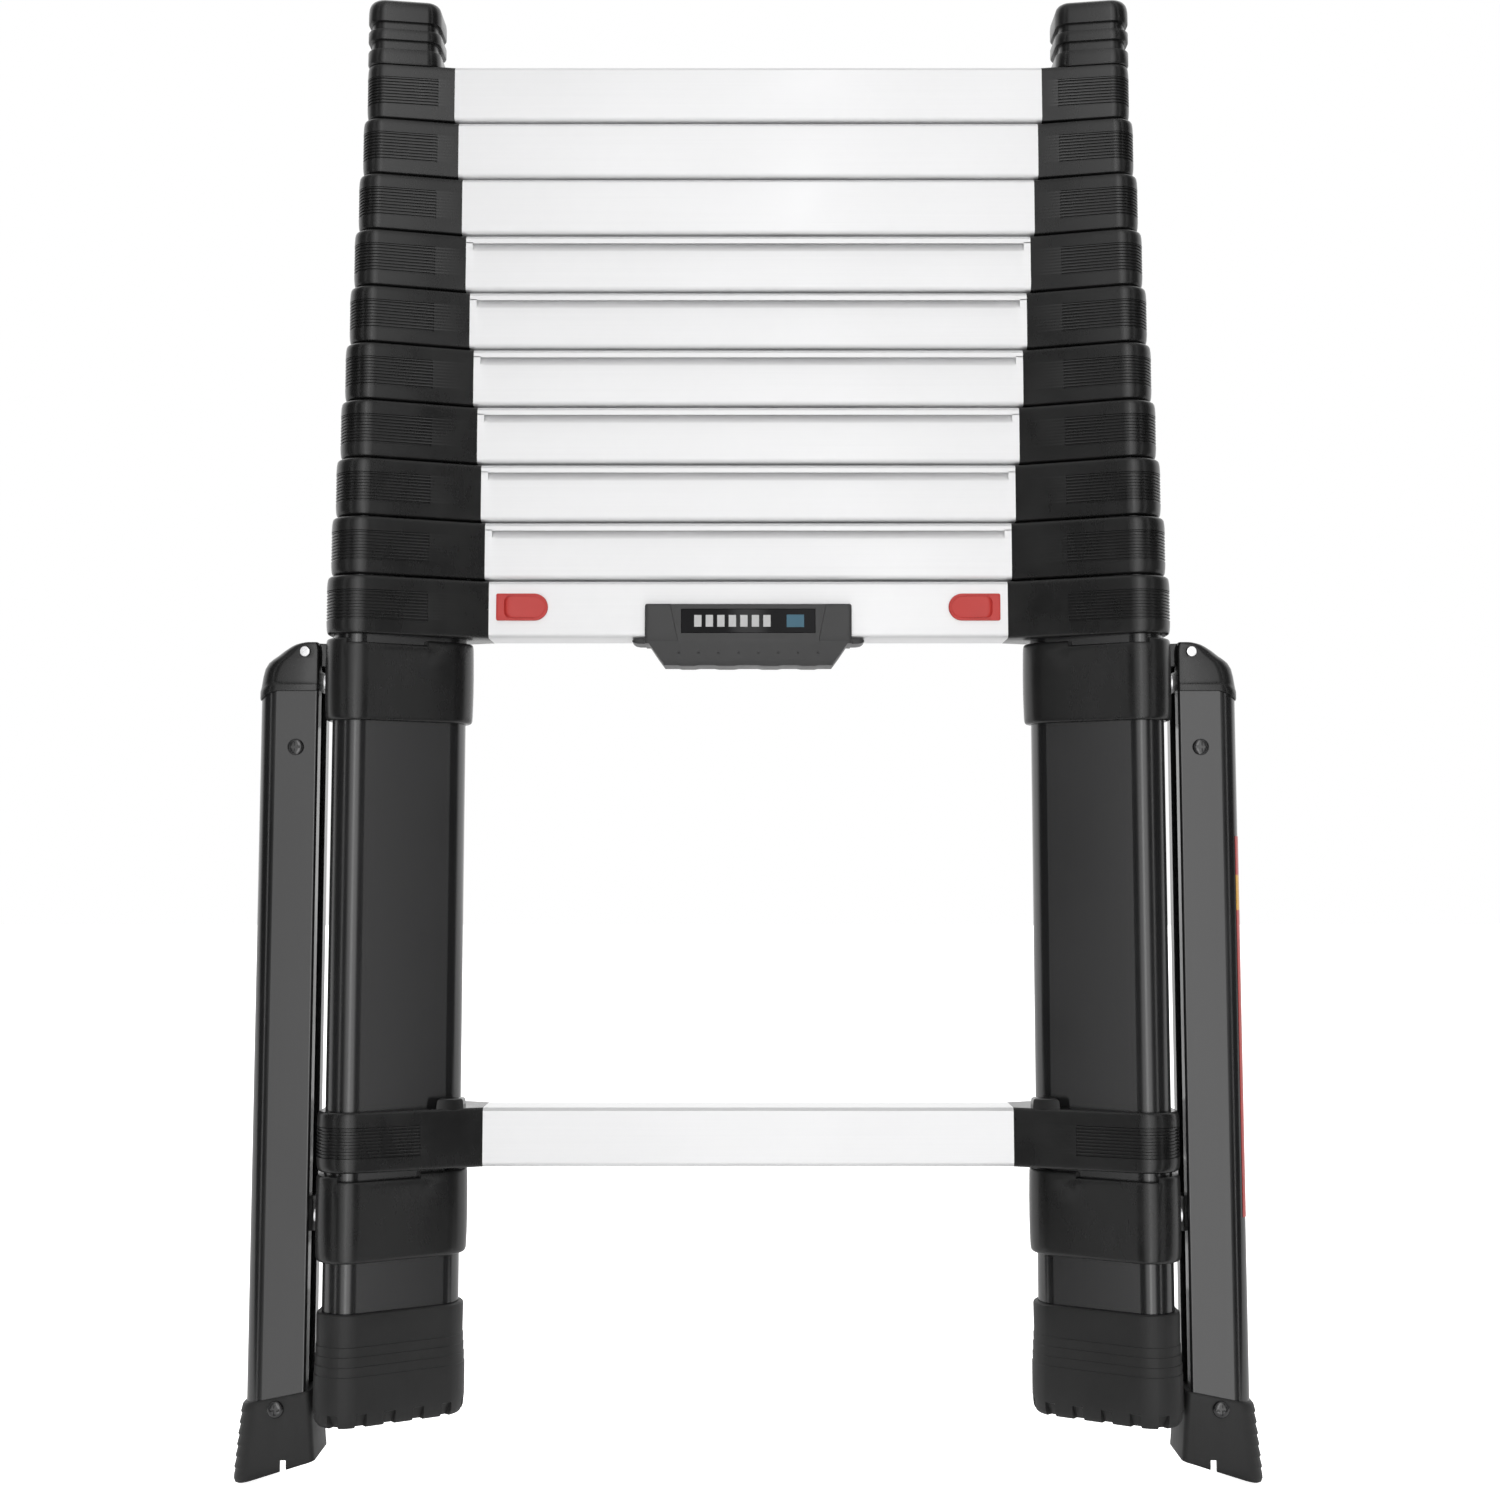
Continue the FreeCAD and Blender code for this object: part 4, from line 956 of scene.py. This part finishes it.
def noise(tree, scale, stretch=(1, 1, 1), detail=4.0, roughness=0.55):
    """Noise over the object's own coordinates, in cycles per metre."""
    place = tree.nodes.new("ShaderNodeTexCoord")
    mapping = tree.nodes.new("ShaderNodeMapping")
    mapping.inputs["Scale"].default_value = stretch
    texture = tree.nodes.new("ShaderNodeTexNoise")
    texture.inputs["Scale"].default_value = scale
    texture.inputs["Detail"].default_value = detail
    texture.inputs["Roughness"].default_value = roughness
    tree.links.new(place.outputs["Object"], mapping.inputs["Vector"])
    tree.links.new(mapping.outputs["Vector"], texture.inputs["Vector"])
    return texture.outputs["Fac"]


def spread(tree, value, low, high, start=0.3, end=0.7):
    """Maps a noise value onto a range."""
    span = tree.nodes.new("ShaderNodeMapRange")
    span.inputs["From Min"].default_value = start
    span.inputs["From Max"].default_value = end
    span.inputs["To Min"].default_value = low
    span.inputs["To Max"].default_value = high
    tree.links.new(value, span.inputs["Value"])
    return span.outputs["Result"]


def tint(tree, shader, value, dark, light, start=0.3, end=0.7):
    """Colours a surface between two tones by a noise value."""
    ramp = tree.nodes.new("ShaderNodeValToRGB")
    ramp.color_ramp.elements[0].position = start
    ramp.color_ramp.elements[0].color = (*dark, 1)
    ramp.color_ramp.elements[1].position = end
    ramp.color_ramp.elements[1].color = (*light, 1)
    tree.links.new(value, ramp.inputs["Fac"])
    tree.links.new(ramp.outputs["Color"], shader.inputs["Base Color"])
    return ramp.outputs["Color"]


def bump(tree, shader, value, strength, depth):
    """Relief of a real depth in metres."""
    relief = tree.nodes.new("ShaderNodeBump")
    relief.inputs["Strength"].default_value = strength
    relief.inputs["Distance"].default_value = depth
    tree.links.new(value, relief.inputs["Height"])
    tree.links.new(relief.outputs["Normal"], shader.inputs["Normal"])


def add(tree, first, second, share):
    """first + second x share."""
    node = tree.nodes.new("ShaderNodeMath")
    node.operation = "MULTIPLY_ADD"
    node.inputs[1].default_value = share
    tree.links.new(second, node.inputs[0])
    tree.links.new(first, node.inputs[2])
    return node.outputs["Value"]


def moulded(name, dark, light, rough_low, rough_high, grain=2600, relief=0.00004):
    """Moulded plastic or rubber: fine spark-eroded grain, cloudy gloss and faint scuffs."""
    material, tree, shader = new_finish(name, light, rough_high)
    cloud = noise(tree, 28)
    tint(tree, shader, cloud, dark, light)
    scuff = noise(tree, 240, (1, 1, 0.2), 6.0, 0.7)
    mixed = add(tree, cloud, scuff, 0.45)
    tree.links.new(spread(tree, mixed, rough_low, rough_high, 0.45, 1.0), shader.inputs["Roughness"])
    bump(tree, shader, noise(tree, grain, detail=2.0), 0.5, relief)
    return material


def extruded(name, dark, light, metallic, rough_low, rough_high, stretch, specular=0.5):
    """Extruded metal: fine die lines along one direction, with soft changes in gloss."""
    material, tree, shader = new_finish(name, light, rough_high, metallic, specular)
    lines = noise(tree, 900, stretch, 3.0, 0.6)
    cloud = noise(tree, 9)
    tint(tree, shader, add(tree, cloud, lines, 0.25), dark, light, 0.45, 0.8)
    tree.links.new(spread(tree, add(tree, cloud, lines, 0.35), rough_low, rough_high, 0.4, 0.9),
                   shader.inputs["Roughness"])
    bump(tree, shader, lines, 0.25, 0.00002)
    return material


def make_finishes():
    made = {
        "anodised_black": extruded("anodised_black", (0.010, 0.010, 0.0105), (0.015, 0.015, 0.0155),
                                   0.0, 0.15, 0.24, (1, 1, 0.006), 0.95),
        "bare_aluminium": extruded("bare_aluminium", (0.79, 0.79, 0.795), (0.86, 0.86, 0.865),
                                   0.55, 0.36, 0.48, (0.006, 1, 1)),
        "black_plastic": moulded("black_plastic", (0.010, 0.010, 0.010), (0.017, 0.017, 0.017),
                                 0.22, 0.34, 2600, 0.00001),
        "grey_plastic": moulded("grey_plastic", (0.040, 0.040, 0.0405), (0.052, 0.052, 0.0525),
                                0.40, 0.54),
        "foot_rubber": moulded("foot_rubber", (0.012, 0.012, 0.012), (0.020, 0.020, 0.020),
                               0.48, 0.66, 1500, 0.00008),
        "red_plastic": moulded("red_plastic", (0.62, 0.042, 0.036), (0.70, 0.054, 0.046), 0.36, 0.46),
        "gloss_black": moulded("gloss_black", (0.004, 0.004, 0.005), (0.007, 0.007, 0.008), 0.05, 0.10,
                               900, 0.000005),
        "plated_steel": extruded("plated_steel", (0.72, 0.72, 0.73), (0.80, 0.80, 0.80), 1.0, 0.22,
                                 0.34, (1, 1, 1)),
        "black_steel": extruded("black_steel", (0.012, 0.012, 0.013), (0.020, 0.020, 0.021), 0.0, 0.12,
                                0.22, (1, 1, 1), 0.9),
        "mark_white": moulded("mark_white", (0.62, 0.62, 0.62), (0.70, 0.70, 0.70), 0.30, 0.40),
        "mark_blue": moulded("mark_blue", (0.02, 0.13, 0.20), (0.03, 0.15, 0.23), 0.30, 0.40),
        "reflector_red": moulded("reflector_red", (0.50, 0.035, 0.030), (0.62, 0.050, 0.040), 0.25, 0.35,
                                 1200),
        "reflector_amber": moulded("reflector_amber", (0.75, 0.36, 0.02), (0.85, 0.45, 0.03), 0.25, 0.35,
                                   1200),
    }
    plate = made["gloss_black"].node_tree.nodes["Principled BSDF"]
    plate.inputs["Specular IOR Level"].default_value = 0.15
    return made


def finish_cad_nodes():
    """Gives every CAD node the finish of its material slot."""
    slots = {row["node"]: row["material_slot"] for row in frame["record"]["subparts"]}
    for name, item in frame["nodes"].items():
        item.data.materials.clear()
        item.data.materials.append(finishes[slots[name]])


# ---- stage -------------------------------------------------------------------------------------

# left, right, front, back and level in metres
FLOOR = (-6.0, 6.0, -0.12, 12.0, -0.0005)
FLOOR_GLOW = 0.95
FLOOR_BOUNCE = 0.15


def make_floor():
    """A pale floor that glows to the camera and gives less light to the object."""
    mesh = bpy.data.meshes.new("floor")
    left, right, front, back, level = FLOOR
    mesh.from_pydata([(left, front, level), (right, front, level), (right, back, level),
                      (left, back, level)], [], [(0, 1, 2, 3)])
    floor = bpy.data.objects.new("floor", mesh)
    bpy.context.scene.collection.objects.link(floor)
    material, tree, shader = new_finish("pale_floor", (0.90, 0.90, 0.90), 0.9)
    shader.inputs["Specular IOR Level"].default_value = 0.1
    shader.inputs["Emission Color"].default_value = (1, 1, 1, 1)
    path = tree.nodes.new("ShaderNodeLightPath")
    glow = fade(tree, path.outputs["Is Camera Ray"], 0.0, 1.0, FLOOR_GLOW)
    glow.node.inputs["To Min"].default_value = FLOOR_BOUNCE
    tree.links.new(glow, shader.inputs["Emission Strength"])
    mesh.materials.append(material)


def calculate(tree, operation, *values):
    """A Math node; each value is a socket or a number."""
    node = tree.nodes.new("ShaderNodeMath")
    node.operation = operation
    for index, value in enumerate(values):
        if isinstance(value, (int, float)):
            node.inputs[index].default_value = value
        else:
            tree.links.new(value, node.inputs[index])
    return node.outputs["Value"]


def fade(tree, value, start, end, strength):
    """Rises smoothly from 0 at the start to the strength at the end."""
    span = tree.nodes.new("ShaderNodeMapRange")
    span.interpolation_type = "SMOOTHSTEP"
    span.inputs["From Min"].default_value = start
    span.inputs["From Max"].default_value = end
    span.inputs["To Max"].default_value = strength
    tree.links.new(value, span.inputs["Value"])
    return span.outputs["Result"]


ROOM_LIGHT = 0.05
CENTRE_LIGHT = 2.6
FRONT_LIGHT = 1.08
RIGHT_GAIN = 1.5
STRIP_LIGHT = 1.9
BACKDROP_LIGHT = 1.2
CEILING_LIGHT = 0.35


def make_studio():
    """Soft studio: a narrow centre and a broad front light, a strip at each side, a backdrop and a
    ceiling light, placed by direction; the camera sees plain white instead."""
    world = bpy.data.worlds.new("studio")
    world.use_nodes = True
    tree = world.node_tree
    place = tree.nodes.new("ShaderNodeTexCoord")
    split = tree.nodes.new("ShaderNodeSeparateXYZ")
    tree.links.new(place.outputs["Generated"], split.inputs["Vector"])
    across, along, up = (split.outputs[axis] for axis in "XYZ")
    turn = calculate(tree, "ARCTAN2", calculate(tree, "ABSOLUTE", across),
                     calculate(tree, "MULTIPLY", along, -1.0))
    centre = fade(tree, turn, 0.08, 0.03, CENTRE_LIGHT)
    right = fade(tree, across, 0.0, 0.2, RIGHT_GAIN - 1.0)
    front = calculate(tree, "MULTIPLY", fade(tree, turn, 0.46, 0.28, FRONT_LIGHT),
                      calculate(tree, "ADD", right, 1.0))
    front = calculate(tree, "MULTIPLY", front, fade(tree, up, 0.95, 0.45, 1.0))
    strip = calculate(tree, "MULTIPLY", fade(tree, turn, 0.76, 0.80, STRIP_LIGHT),
                      fade(tree, turn, 0.89, 0.81, 1.0))
    backdrop = fade(tree, along, -0.05, 0.40, BACKDROP_LIGHT)
    ceiling = fade(tree, up, 0.45, 0.90, CEILING_LIGHT)
    lit = ROOM_LIGHT
    for light in (centre, front, strip, backdrop, ceiling):
        lit = calculate(tree, "ADD", lit, light)
    path = tree.nodes.new("ShaderNodeLightPath")
    mix = tree.nodes.new("ShaderNodeMix")
    mix.data_type = "FLOAT"
    tree.links.new(path.outputs["Is Camera Ray"], mix.inputs["Factor"])
    tree.links.new(lit, mix.inputs["A"])
    mix.inputs["B"].default_value = 1.0
    sky = tree.nodes["Background"]
    sky.inputs["Color"].default_value = (1, 1, 1, 1)
    tree.links.new(mix.outputs["Result"], sky.inputs["Strength"])
    bpy.context.scene.world = world
    bpy.context.scene.view_settings.view_transform = "Standard"


LENS, SENSOR, SHIFT = 49.6, 36.0, -0.045
CAMERA_PLACE = (0.001, -1.200, 0.340)
CAMERA_RISE = 5.22


def make_camera():
    data = bpy.data.cameras.new("camera")
    data.lens = LENS
    data.sensor_width = SENSOR
    data.shift_y = SHIFT
    data.dof.use_dof = False
    camera = bpy.data.objects.new("camera", data)
    bpy.context.scene.collection.objects.link(camera)
    camera.location = CAMERA_PLACE
    camera.rotation_euler = (math.radians(90 + CAMERA_RISE), 0, 0)
    bpy.context.scene.camera = camera


# ---- assembly ----------------------------------------------------------------------------------

finishes = make_finishes()
finish_cad_nodes()
for rung in range(1, BOTTOM_RUNG + 1):
    make_connector(rung)
    make_rung(rung)
make_caps()
make_brackets()
make_stile_feet()
make_carry_handle()
make_nameplate()
make_pivot_pins()
for side, sign in SIDES:
    make_outrigger_head(side, sign)
    make_outrigger_foot(side, sign)
    make_outrigger_screws(side, sign)
    make_slider(side, sign)
make_reflective_strip()
make_floor()
make_studio()
make_camera()
